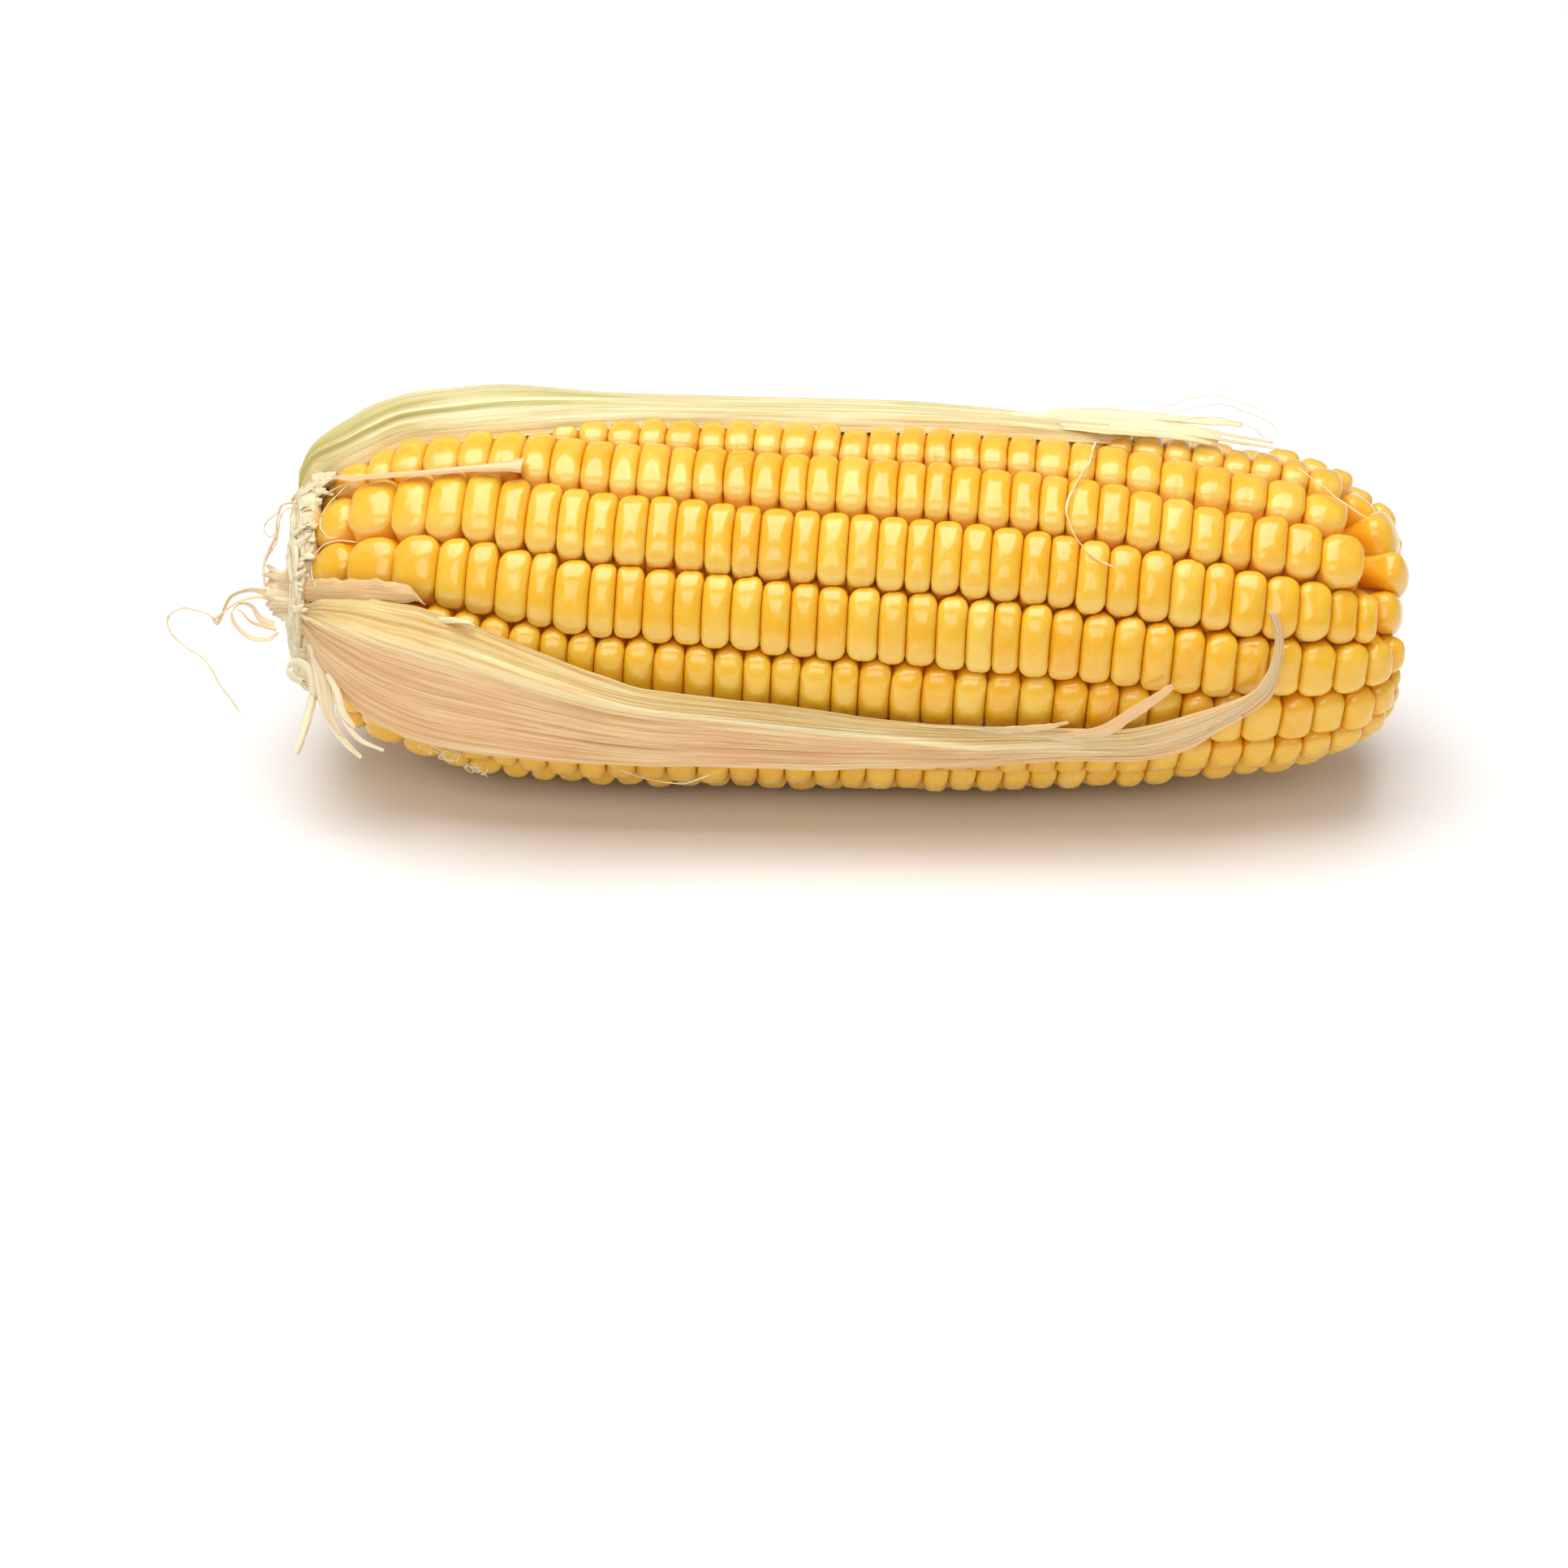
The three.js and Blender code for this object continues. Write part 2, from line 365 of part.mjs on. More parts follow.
// ---------------------------------------------------------------- papery fibre and silk threads
function thread(points, r, steps, sides = 6) {
  const ring = new THREE.Shape();
  for (let i = 0; i < sides; i++) {
    const a = (2 * Math.PI * i) / sides;
    ring[i ? "lineTo" : "moveTo"](r * Math.cos(a), r * Math.sin(a));
  }
  ring.closePath();
  const path = new THREE.CatmullRomCurve3(points.map((p) => new THREE.Vector3(...p)));
  return facingOut(closed(new THREE.ExtrudeGeometry(ring, { steps, bevelEnabled: false, extrudePath: path })));
}
add("fibre_fan", strip([[-75.0, -14.0, 1.8], [-77.4, -14.1, 1.2], [-79.8, -14.0, 0.8]], 4.6, 0.4, [0, -1, 0.3], 5), material.silk);
add("fibre_curl_long", thread([
  [-80.6, -14.0, 0.2], [-82.6, -13.8, 1.6], [-84.6, -13.4, 1.4], [-86.0, -13.2, 0.2], [-88.6, -13.4, 0.6], [-91.6, -13.6, 1.0],
  [-93.6, -13.6, -0.4], [-92.6, -13.8, -3.0], [-90.0, -14.2, -5.4], [-87.6, -14.6, -8.8], [-85.8, -14.8, -12.6], [-84.6, -14.4, -16.6],
], SILK_R, 34), material.silk);
add("fibre_curl_short", thread([
  [-80.6, -13.2, -1.0], [-82.4, -12.6, -1.9], [-84.4, -12.4, -0.9], [-84.6, -12.8, 1.8], [-82.8, -13.2, 3.6], [-80.9, -13.5, 2.6],
], SILK_R, 16), material.silk);
add("fibre_upright", thread([
  [-80.2, -13.8, 2.9], [-80.3, -12.9, 5.8], [-79.6, -12.0, 8.6], [-78.6, -11.0, 11.2], [-76.9, -10.4, 11.6],
], SILK_R, 12), material.silk);

// Silk lies on the crowns: place along the axis, bearing, clearance.
const onCrowns = (list) => list.map(([x, b, off]) => offCrown(x, b, off).toArray());
add("silk_thread_1", thread(onCrowns([[27.2, -84, 1.0], [28.0, -74, 0.8], [29.6, -64, 0.8], [32.2, -55, 0.8], [35.4, -48, 1.0]]), SILK_R * 0.7, 16, 5), material.silk);
add("silk_thread_2", thread(onCrowns([[57.0, -90, 1.0], [59.0, -85, 0.9], [61.5, -79, 1.0], [65.0, -72, 1.3], [68.0, -68, 1.7]]), SILK_R * 0.7, 14, 5), material.silk);
add("silk_thread_3", thread(onCrowns([[-29.0, 33.5, 1.8], [-26.4, 37.5, 2.0], [-23.4, 38.5, 2.2], [-20.2, 36.5, 2.0], [-17.4, 31.5, 2.2]]), SILK_R * 0.7, 14, 5), material.silk);

// ---------------------------------------------------------------- rest the ear on its lowest kernels, centred over the origin
ear.updateMatrixWorld(true);
const box = new THREE.Box3().setFromObject(ear);
ear.position.set(-(box.min.x + box.max.x) / 2, -(box.min.y + box.max.y) / 2, -box.min.z);

export default ear;
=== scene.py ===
"""A husked ear of sweet corn lying on its side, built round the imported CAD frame.

The ear lies along X, butt at -X and trimmed tip at +X. Lengths below are in millimetres in the ear's own frame,
whose origin is the middle of its axis; bearings about the axis are in degrees, 0 to the front (-Y), 90 down, -90 up.
"""
import math
import bpy
import numpy as np
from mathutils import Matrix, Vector


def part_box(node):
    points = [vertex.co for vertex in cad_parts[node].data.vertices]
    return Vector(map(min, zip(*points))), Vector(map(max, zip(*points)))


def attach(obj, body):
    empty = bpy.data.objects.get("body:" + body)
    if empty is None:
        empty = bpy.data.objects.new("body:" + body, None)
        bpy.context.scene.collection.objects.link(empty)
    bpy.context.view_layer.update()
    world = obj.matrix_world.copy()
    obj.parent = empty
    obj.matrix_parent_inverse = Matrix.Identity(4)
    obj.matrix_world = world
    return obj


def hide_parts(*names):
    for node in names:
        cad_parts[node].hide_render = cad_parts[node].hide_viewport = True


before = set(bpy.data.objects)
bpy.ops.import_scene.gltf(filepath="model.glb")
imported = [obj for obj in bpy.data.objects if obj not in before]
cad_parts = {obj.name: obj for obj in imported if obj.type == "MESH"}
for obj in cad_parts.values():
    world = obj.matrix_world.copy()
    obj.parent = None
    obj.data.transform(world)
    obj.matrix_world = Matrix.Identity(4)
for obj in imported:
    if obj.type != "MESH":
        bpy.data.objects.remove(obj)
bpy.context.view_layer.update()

# ------------------------------------------------------------------ the ear's shape, the same numbers as the CAD part
ROWS = 16
SHANK_R = 8.6
BUTT_X = -76.6
PROFILE = [
    (-74.6, 11.4), (-72.8, 13.6), (-71.4, 16.0), (-68.6, 18.5), (-63.0, 21.0), (-56.6, 23.0), (-50.6, 24.3),
    (-39.6, 25.3), (-23.1, 25.5), (-6.6, 25.5), (15.4, 25.4), (26.4, 24.9), (38.5, 23.9),
    (48.4, 22.7), (59.7, 20.9), (66.0, 18.8), (70.2, 16.2), (72.8, 13.0), (73.9, 10.6),
]
TWIST = [
    (-80, -53), (-69.3, -50), (-56, -45.8), (-40.5, -40.3), (-24.6, -37), (-8.8, -33.8),
    (7.5, -31), (23, -28), (39, -22.8), (52, -18), (65, -13.5), (80, -9),
]
DEPTH = [(0, 6.8), (3, 7.8), (15, 9.6), (31, 10.3), (131, 10.3), (149, 9.4), (163, 8.2)]
PITCH = [(0, 5.3), (12, 5.2), (21, 4.5), (29, 3.95), (121, 3.9), (141, 4.3), (163, 4.8)]
MOST_TILT = (-46, 62)
# Width of each row about the axis, in degrees, starting with row 1 below the reference seam and going on round underneath.
ROW_WIDTH = [24.0, 22.7] + [22.1] * 11 + [22.3, 23.2, 24.6]
ROW_EDGE = [0.0]
for _w in ROW_WIDTH:
    ROW_EDGE.append(ROW_EDGE[-1] + _w * 360 / sum(ROW_WIDTH))

# Towards the butt the rows above the reference seam are wider: how far each seam moves there, in degrees, by seam number.
BUTT_SHIFT = [-2.4, -1.7, -1.0, -0.5, 0, 0, -1.2, -2.6, -4.2, -6.0, -8.0, -9.8, -11.6, -12.8, -11.2, -6.2, -2.4]


def row_edge(k, x):
    w = np.clip((-34.0 - np.asarray(x, float)) / 26.0, 0, 1)
    return ROW_EDGE[k] + BUTT_SHIFT[k] * w * w * (3 - 2 * w)


# Rows that stop before the tip, and where.
SHORT_ROWS = {12: 66.5, 13: 64.5, 14: 65.0, 15: 66.8, 16: 69.3}

# Kernel spacing measured along the rows that face the viewer: seams between kernels, along the axis.
SEAMS = {
    14: [-70.1, -66.2, -62.3, -58.5, -54.5, -50.5, -46.2, -41.9, -37.8, -33.9, -29.6, -26.1, -21.7, -18.2, -14.3, -10.6, -6.3, -2.8, 0.9, 4.8, 8.5, 11.9, 15.8, 19.5, 23.3, 27.8, 31.3, 35.4, 39.9, 44.6, 49.2, 54.1, 59.2, 63.9],
    15: [-73.2, -71.4, -66.5, -63.0, -58.7, -53.7, -49.4, -45.0, -41.1, -36.9, -33.0, -29.3, -25.3, -22.0, -18.0, -14.2, -10.4, -6.9, -3.0, 1.1, 5.0, 8.7, 12.0, 15.9, 20.0, 23.8, 27.4, 31.6, 35.5, 39.9, 44.0, 48.2, 52.0, 56.5, 61.2, 65.8],
    16: [-73.8, -68.3, -62.1, -57.2, -52.3, -47.7, -43.7, -39.5, -35.8, -31.9, -27.7, -23.9, -20.0, -16.4, -12.9, -8.6, -5.1, -1.2, 2.7, 6.4, 9.9, 13.7, 17.5, 21.6, 25.3, 29.0, 32.9, 37.1, 41.2, 45.6, 49.4, 53.8, 58.3, 62.7, 67.9],
    1: [-74.0, -68.0, -61.5, -55.6, -51.5, -47.5, -43.1, -39.7, -35.1, -31.6, -27.9, -23.9, -20.2, -16.4, -12.4, -8.6, -5.0, -1.1, 3.0, 6.7, 10.6, 14.5, 18.0, 21.6, 25.5, 29.6, 33.8, 37.8, 41.7, 45.8, 50.0, 54.4, 58.8, 63.5, 68.0],
    2: [-73.6, -68.0, -62.3, -57.9, -53.9, -49.9, -45.9, -41.7, -38.0, -34.4, -30.5, -26.6, -22.5, -18.6, -14.7, -11.1, -7.3, -3.1, 0.4, 4.6, 8.7, 13.0, 17.2, 21.6, 26.1, 30.6, 34.7, 38.8, 43.1, 47.2, 51.4, 56.4, 60.9, 65.2, 69.2],
    3: [-73.2, -67.8, -63.6, -59.2, -54.9, -50.6, -46.5, -42.6, -38.5, -34.6, -30.2, -26.3, -22.6, -19.0, -15.1, -11.1, -6.9, -2.9, 0.6, 4.2, 7.7, 11.3, 15.4, 19.4, 23.2, 27.0, 30.9, 35.0, 39.3, 43.3, 47.4, 51.6, 55.8, 59.6, 63.7, 67.9],
}


def curve(table):
    """Smooth curve through [(position, value), ...], for numbers and arrays alike."""
    tx = np.array([p[0] for p in table], float)
    ty = np.array([p[1] for p in table], float)
    n = len(tx)
    m = np.array([(ty[min(n - 1, i + 1)] - ty[max(0, i - 1)]) / (tx[min(n - 1, i + 1)] - tx[max(0, i - 1)]) for i in range(n)])

    def f(x):
        x = np.clip(np.asarray(x, float), tx[0], tx[-1])
        i = np.clip(np.searchsorted(tx, x, side="left") - 1, 0, n - 2)
        h = tx[i + 1] - tx[i]
        t = (x - tx[i]) / h
        t2, t3 = t * t, t * t * t
        return (2 * t3 - 3 * t2 + 1) * ty[i] + (t3 - 2 * t2 + t) * h * m[i] + (3 * t2 - 2 * t3) * ty[i + 1] + (t3 - t2) * h * m[i + 1]
    return f


ALONG = [0.0]
for _a, _b in zip(PROFILE, PROFILE[1:]):
    ALONG.append(ALONG[-1] + math.hypot(_b[0] - _a[0], _b[1] - _a[1]))
T_END = ALONG[-1]
profile_x = curve([(s, p[0]) for s, p in zip(ALONG, PROFILE)])
profile_r = curve([(s, p[1]) for s, p in zip(ALONG, PROFILE)])
crown_r = curve(PROFILE)
twist = curve(TWIST)
depth = curve(DEPTH)
pitch = curve(PITCH)
_ts = np.linspace(0, T_END, 2000)
_xs = profile_x(_ts)


def t_of_x(x):
    return np.interp(x, _xs, _ts)


def meridian(t):
    t = np.asarray(t, float)
    x, r = profile_x(t), profile_r(t)
    dx = profile_x(t + 0.4) - profile_x(t - 0.4)
    dr = profile_r(t + 0.4) - profile_r(t - 0.4)
    tilt = np.radians(np.clip(0.8 * np.degrees(np.arctan2(-dr, dx)), *MOST_TILT))
    d = depth(t)
    # Past either end of the rows the profile carries straight on.
    over = np.where(t > T_END, t - T_END, np.where(t < 0, t, 0.0))
    x = x + over * 0.6
    return x, r, tilt, d, x - d * np.sin(tilt), r - d * np.cos(tilt)


def ear_point(t, bearing, h):
    """t along the crowns, bearing in radians, h above the kernels' feet."""
    x, r, tilt, d, bx, br = meridian(t)
    rr = br + h * np.cos(tilt)
    return np.stack([bx + h * np.sin(tilt), -np.cos(bearing) * rr, -np.sin(bearing) * rr], -1)


def off_crown(x, bearing_deg, off):
    r = crown_r(x) + off
    b = np.radians(bearing_deg)
    return np.stack([x + 0 * r, -np.cos(b) * r, -np.sin(b) * r], -1)


core_lo, core_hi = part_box("cob_core")
SHIFT = np.array([core_lo.x * 1000 - BUTT_X, (core_lo.y + core_hi.y) * 500, (core_lo.z + core_hi.z) * 500])

# ------------------------------------------------------------------ camera
VIEW_AZ, VIEW_EL, VIEW_DIST, FRAME_W = math.radians(2.56), math.radians(29.6), 700.0, 212.5
to_cam = Vector((math.sin(VIEW_AZ) * math.cos(VIEW_EL), -math.cos(VIEW_AZ) * math.cos(VIEW_EL), math.sin(VIEW_EL)))
right = Vector((math.cos(VIEW_AZ), math.sin(VIEW_AZ), 0))
up = right.cross(-to_cam)
aim = Vector(SHIFT) - right * 10.34 - up * 24.64
cam_data = bpy.data.cameras.new("camera")
cam_data.sensor_width = 36
cam_data.lens = 36 * VIEW_DIST / FRAME_W
cam_data.clip_start, cam_data.clip_end = 0.05, 20
camera = bpy.data.objects.new("camera", cam_data)
bpy.context.scene.collection.objects.link(camera)
camera.location = (aim + to_cam * VIEW_DIST) / 1000
camera.rotation_euler = (-to_cam).to_track_quat("-Z", "Y").to_euler()
bpy.context.scene.camera = camera


def seen(x, upward, out):
    """A point in the plane facing the viewer: x along the ear, upward and out towards the viewer, from the ear's middle."""
    e = VIEW_EL
    return np.array([x, -math.cos(e) * out + math.sin(e) * upward, math.sin(e) * out + math.cos(e) * upward])


# ------------------------------------------------------------------ meshes
def add_mesh(name, verts, faces, mats, attrs=None, smooth=True, mat_index=None):
    """verts in the ear's frame in mm; attrs is {name: one number per vertex}."""
    v = (np.asarray(verts, float) + SHIFT) / 1000
    me = bpy.data.meshes.new(name)
    faces = [np.asarray(f) for f in faces] if not isinstance(faces, np.ndarray) else faces
    if isinstance(faces, np.ndarray):
        counts = np.full(len(faces), faces.shape[1])
        loops = faces.reshape(-1)
    else:
        counts = np.concatenate([np.full(len(f), f.shape[1]) for f in faces if len(f)])
        loops = np.concatenate([f.reshape(-1) for f in faces if len(f)])
    me.vertices.add(len(v))
    me.vertices.foreach_set("co", v.astype(np.float32).reshape(-1))
    me.loops.add(len(loops))
    me.loops.foreach_set("vertex_index", loops.astype(np.int32))
    me.polygons.add(len(counts))
    starts = np.concatenate([[0], np.cumsum(counts)[:-1]])
    me.polygons.foreach_set("loop_start", starts.astype(np.int32))
    me.polygons.foreach_set("loop_total", counts.astype(np.int32))
    if smooth:
        me.polygons.foreach_set("use_smooth", np.ones(len(counts), bool))
    me.update(calc_edges=True)
    me.validate()
    for key, val in (attrs or {}).items():
        a = me.attributes.new(key, "FLOAT", "POINT")
        a.data.foreach_set("value", np.asarray(val, np.float32))
    for m in (mats if isinstance(mats, (list, tuple)) else [mats]):
        me.materials.append(m)
    ob = bpy.data.objects.new(name, me)
    bpy.context.scene.collection.objects.link(ob)
    return ob


def volume(v, faces):
    """Six times the volume inside a closed surface: negative when its faces look inwards."""
    v, total = v - v.mean(0), 0.0
    for g in faces:
        for c in range(1, np.shape(g)[1] - 1):
            total += float(np.einsum("ij,ij->i", v[g[:, 0]], np.cross(v[g[:, c]], v[g[:, c + 1]])).sum())
    return total


def join_parts(parts):
    """parts: [(verts, faces(list of arrays), attrs)] -> one set, every part facing outwards."""
    vs, fs, at, n = [], {}, {}, 0
    keys = set(k for p in parts for k in p[2])
    for v, f, a in parts:
        vs.append(v)
        f = [np.asarray(g) for g in f if len(g)]
        turn = volume(v, f) < 0
        for g in f:
            fs.setdefault(g.shape[1], []).append((g[:, ::-1] if turn else g) + n)
        for k in keys:
            at.setdefault(k, []).append(np.asarray(a.get(k, np.zeros(len(v)))) * np.ones(len(v)))
        n += len(v)
    return np.concatenate(vs), [np.concatenate(g) for g in fs.values()], {k: np.concatenate(x) for k, x in at.items()}


# ------------------------------------------------------------------ shader helpers
def new_material(name):
    m = bpy.data.materials.new(name)
    m.use_nodes = True
    nt = m.node_tree
    bsdf = nt.nodes["Principled BSDF"]
    return m, nt, bsdf


def attr(nt, name):
    n = nt.nodes.new("ShaderNodeAttribute")
    n.attribute_name = name
    return n.outputs["Fac"]


def math_node(nt, op, a, b=None, c=None, clamp=False):
    n = nt.nodes.new("ShaderNodeMath")
    n.operation = op
    n.use_clamp = clamp
    for i, v in enumerate((a, b, c)):
        if v is None:
            continue
        if isinstance(v, (int, float)):
            n.inputs[i].default_value = v
        else:
            nt.links.new(v, n.inputs[i])
    return n.outputs[0]


def ramp(nt, fac, stops, interpolation="LINEAR"):
    n = nt.nodes.new("ShaderNodeValToRGB")
    n.color_ramp.interpolation = interpolation
    e = n.color_ramp.elements
    while len(e) > 1:
        e.remove(e[-1])
    e[0].position, e[0].color = stops[0][0], (*stops[0][1], 1)
    for pos, col in stops[1:]:
        k = e.new(pos)
        k.color = (*col, 1)
    nt.links.new(fac, n.inputs[0])
    return n.outputs[0]


def mix_rgb(nt, fac, a, b, mode="MIX"):
    n = nt.nodes.new("ShaderNodeMix")
    n.data_type = "RGBA"
    n.blend_type = mode
    for sock, v in ((n.inputs["Factor"], fac), (n.inputs[6], a), (n.inputs[7], b)):
        if isinstance(v, (int, float)):
            sock.default_value = v
        elif isinstance(v, tuple):
            sock.default_value = (*v, 1)
        else:
            nt.links.new(v, sock)
    return n.outputs[2]


def map_range(nt, v, a, b, c, d):
    n = nt.nodes.new("ShaderNodeMapRange")
    n.clamp = True
    nt.links.new(v, n.inputs[0])
    for i, x in enumerate((a, b, c, d)):
        n.inputs[i + 1].default_value = x
    return n.outputs[0]


def coords(nt, scale=(1, 1, 1)):
    tc = nt.nodes.new("ShaderNodeTexCoord")
    mp = nt.nodes.new("ShaderNodeMapping")
    mp.inputs["Scale"].default_value = scale
    nt.links.new(tc.outputs["Object"], mp.inputs[0])
    return mp.outputs[0]


def noise(nt, vec, scale, detail=2.0, rough=0.5):
    n = nt.nodes.new("ShaderNodeTexNoise")
    n.inputs["Scale"].default_value = scale
    n.inputs["Detail"].default_value = detail
    n.inputs["Roughness"].default_value = rough
    nt.links.new(vec, n.inputs["Vector"])
    return n.outputs["Fac"]


def bump(nt, bsdf, height, strength, distance):
    n = nt.nodes.new("ShaderNodeBump")
    n.inputs["Strength"].default_value = strength
    n.inputs["Distance"].default_value = distance
    nt.links.new(height, n.inputs["Height"])
    nt.links.new(n.outputs[0], bsdf.inputs["Normal"])


# ---- kernels: moist, translucent, each its own shade; painted shade darkens them towards the rim and down between them, and a painted reflection of the bright floor pales each one's lower end
def kernel_material():
    m, nt, b = new_material("kernel_flesh")
    tint, across, edge, foot = attr(nt, "tint"), attr(nt, "across"), attr(nt, "edge"), attr(nt, "foot")
    base = ramp(nt, tint, [(0.0, (0.98, 0.62, 0.085)), (0.35, (0.96, 0.54, 0.030)), (0.7, (0.935, 0.49, 0.018)), (1.0, (0.90, 0.445, 0.010))])
    vec = coords(nt)
    cloud = noise(nt, vec, 420, 3, 0.55)
    base = mix_rgb(nt, map_range(nt, cloud, 0.46, 0.74, 0.0, 0.28), base, (1.0, 0.74, 0.24))
    # painted shade: the crown is darkened towards its rim, in the seams between kernels
    seam_shade = ramp(nt, edge, [(0.0, (1, 1, 1)), (0.74, (1, 0.99, 0.97)), (0.94, (0.99, 0.93, 0.72)), (1.0, (0.97, 0.86, 0.48))])
    col = mix_rgb(nt, 1.0, base, seam_shade, "MULTIPLY")
    # painted reflection: each kernel's lower end is paled, as if it mirrored the bright floor
    col = mix_rgb(nt, map_range(nt, across, 0.35, 1.0, 0.0, 0.40), col, (1.0, 0.74, 0.28))
    # painted shade: the flanks below the rim, down in the gaps between kernels, are darkened
    low = ramp(nt, foot, [(0.0, (1, 1, 1)), (0.10, (1.0, 0.83, 0.46)), (0.6, (1.0, 0.74, 0.40)), (1.0, (1.0, 0.86, 0.60))])
    col = mix_rgb(nt, 1.0, col, low, "MULTIPLY")
    nt.links.new(col, b.inputs["Base Color"])
    b.inputs["Roughness"].default_value = 0.30
    rough = map_range(nt, noise(nt, vec, 900, 2, 0.5), 0.3, 0.7, 0.20, 0.30)
    nt.links.new(rough, b.inputs["Roughness"])
    b.inputs["Subsurface Weight"].default_value = 0.75
    b.inputs["Subsurface Radius"].default_value = (1.0, 0.52, 0.11)
    b.inputs["Subsurface Scale"].default_value = 0.0026
    b.inputs["IOR"].default_value = 1.45
    b.inputs["Specular IOR Level"].default_value = 0.6
    b.inputs["Coat Weight"].default_value = 0.55
    b.inputs["Coat Roughness"].default_value = 0.07
    fine = noise(nt, vec, 1500, 3, 0.6)
    bump(nt, b, fine, 0.035, 0.0006)
    return m


KERNEL = kernel_material()


# ------------------------------------------------------------------ kernels
# Large kernels turned outwards at the tip: row, crown centre (along, upward, out), the way the crown looks, across and along half sizes, roll, length.
TIP_KERNELS = [
    (14, (67.6, 15.0, 3.4), (0.55, 0.78, 0.15), 2.7, 3.1, 10, 9.0, 0.35),
    (15, (71.4, 10.4, 8.0), (0.93, 0.30, 0.30), 3.4, 4.0, 20, 10.5, 0.30),
    (16, (73.0, 4.6, 10.2), (0.96, -0.05, 0.28), 2.7, 3.5, -8, 9.5, 0.35),
    (13, (70.6, 13.0, -4.2), (0.80, 0.58, -0.2), 3.0, 3.4, 0, 9.5, 0.5),
    (12, (71.2, 8.4, -11.6), (0.84, 0.34, -0.5), 3.0, 3.6, 0, 9.5, 0.5),
    (14, (72.6, 9.4, 0.6), (0.97, 0.25, 0.02), 2.8, 3.4, 0, 9.0, 0.6),
    (12, (72.4, 3.6, -7.4), (0.96, 0.1, -0.3), 2.8, 3.3, 12, 9.0, 0.45),
    (1, (72.2, -0.5, 10.7), (0.97, -0.04, 0.26), 2.9, 3.2, 6, 9.5, 0.40),
]


def tip_kernel(at_seen, look, a, b, roll, length, tint_v, seed=0):
    """A whole wedge-shaped kernel with its crown facing `look`."""
    rng = np.random.default_rng(900 + seed)
    c = seen(*at_seen)
    n = seen(look[0], look[1], look[2])
    n = n / np.linalg.norm(n)
    ref = seen(0, 0.2, 1.0)
    e1 = np.cross(n, ref)
    e1 /= np.linalg.norm(e1)
    e2 = np.cross(n, e1)
    ro = math.radians(roll)
    e1, e2 = e1 * math.cos(ro) + e2 * math.sin(ro), e2 * math.cos(ro) - e1 * math.sin(ro)
    M = 48
    th = np.linspace(0, 2 * math.pi, M, endpoint=False)
    R_ = (np.abs(np.cos(th) / a) ** 3.0 + np.abs(np.sin(th) / b) ** 3.0) ** (-1 / 3.0)
    rings, edge, foot = [], [], []
    for u in [0.15, 0.3, 0.45, 0.58, 0.7, 0.8, 0.88, 0.94, 0.98, 1.0]:
        h = -1.7 * (1 - (1 - u ** 2.3) ** (1 / 2.1)) + 0.10 * math.sin(3 * u + seed)
        rings.append((u, h)); edge.append(u); foot.append(0.0)
    for d in np.linspace(0.05, 1.0, 16)[0:]:
        w = 1.0 - 0.55 * d ** 1.3 + 0.03 * math.sin(9 * d + seed)
        rings.append((w, -1.7 - (length - 1.7) * d)); edge.append(0.80); foot.append(0.03 + 0.30 * d)
    V = []
    dent = rng.uniform(0.15, 0.4)
    for w, h in rings:
        p = c[None, :] + n[None, :] * h + (e1[None, :] * np.cos(th)[:, None] + e2[None, :] * np.sin(th)[:, None]) * (R_ * w)[:, None]
        # One side of the flank is pressed flat, with a soft crease.
        if h < -1.7:
            k_ = -(h + 1.7) / (length - 1.7)
            p = p - e1[None, :] * (dent * 1.6 * np.exp(-((th - 0.2) / 0.8) ** 2) * math.sin(math.pi * min(1, k_)))[:, None] + n[None, :] * (0.12 * np.sin(5 * th + 6 * k_ + seed))[:, None]
        V.append(p)
    V = np.concatenate(V + [(c + n * 0.02)[None, :], (c - n * length)[None, :]])
    nr = len(rings)
    a0 = np.arange(M); a1 = (a0 + 1) % M
    quads = np.concatenate([np.stack([k_ * M + a0, (k_ + 1) * M + a0, (k_ + 1) * M + a1, k_ * M + a1], -1) for k_ in range(nr - 1)])
    tris = np.concatenate([np.stack([np.full(M, nr * M), a0, a1], -1), np.stack([np.full(M, nr * M + 1), (nr - 1) * M + a1, (nr - 1) * M + a0], -1)])
    # Faces must look outwards whichever way the frame turned.
    if np.dot(np.cross(e1, e2), n) < 0:
        quads, tris = quads[:, ::-1], tris[:, ::-1]
    rep_ = lambda x, end: np.concatenate([np.repeat(x, M), end])
    return V, [quads, tris], {"tint": np.full(len(V), tint_v), "across": np.zeros(len(V)), "edge": rep_(edge, [0, 1]), "foot": rep_(foot, [0, 0.9])}


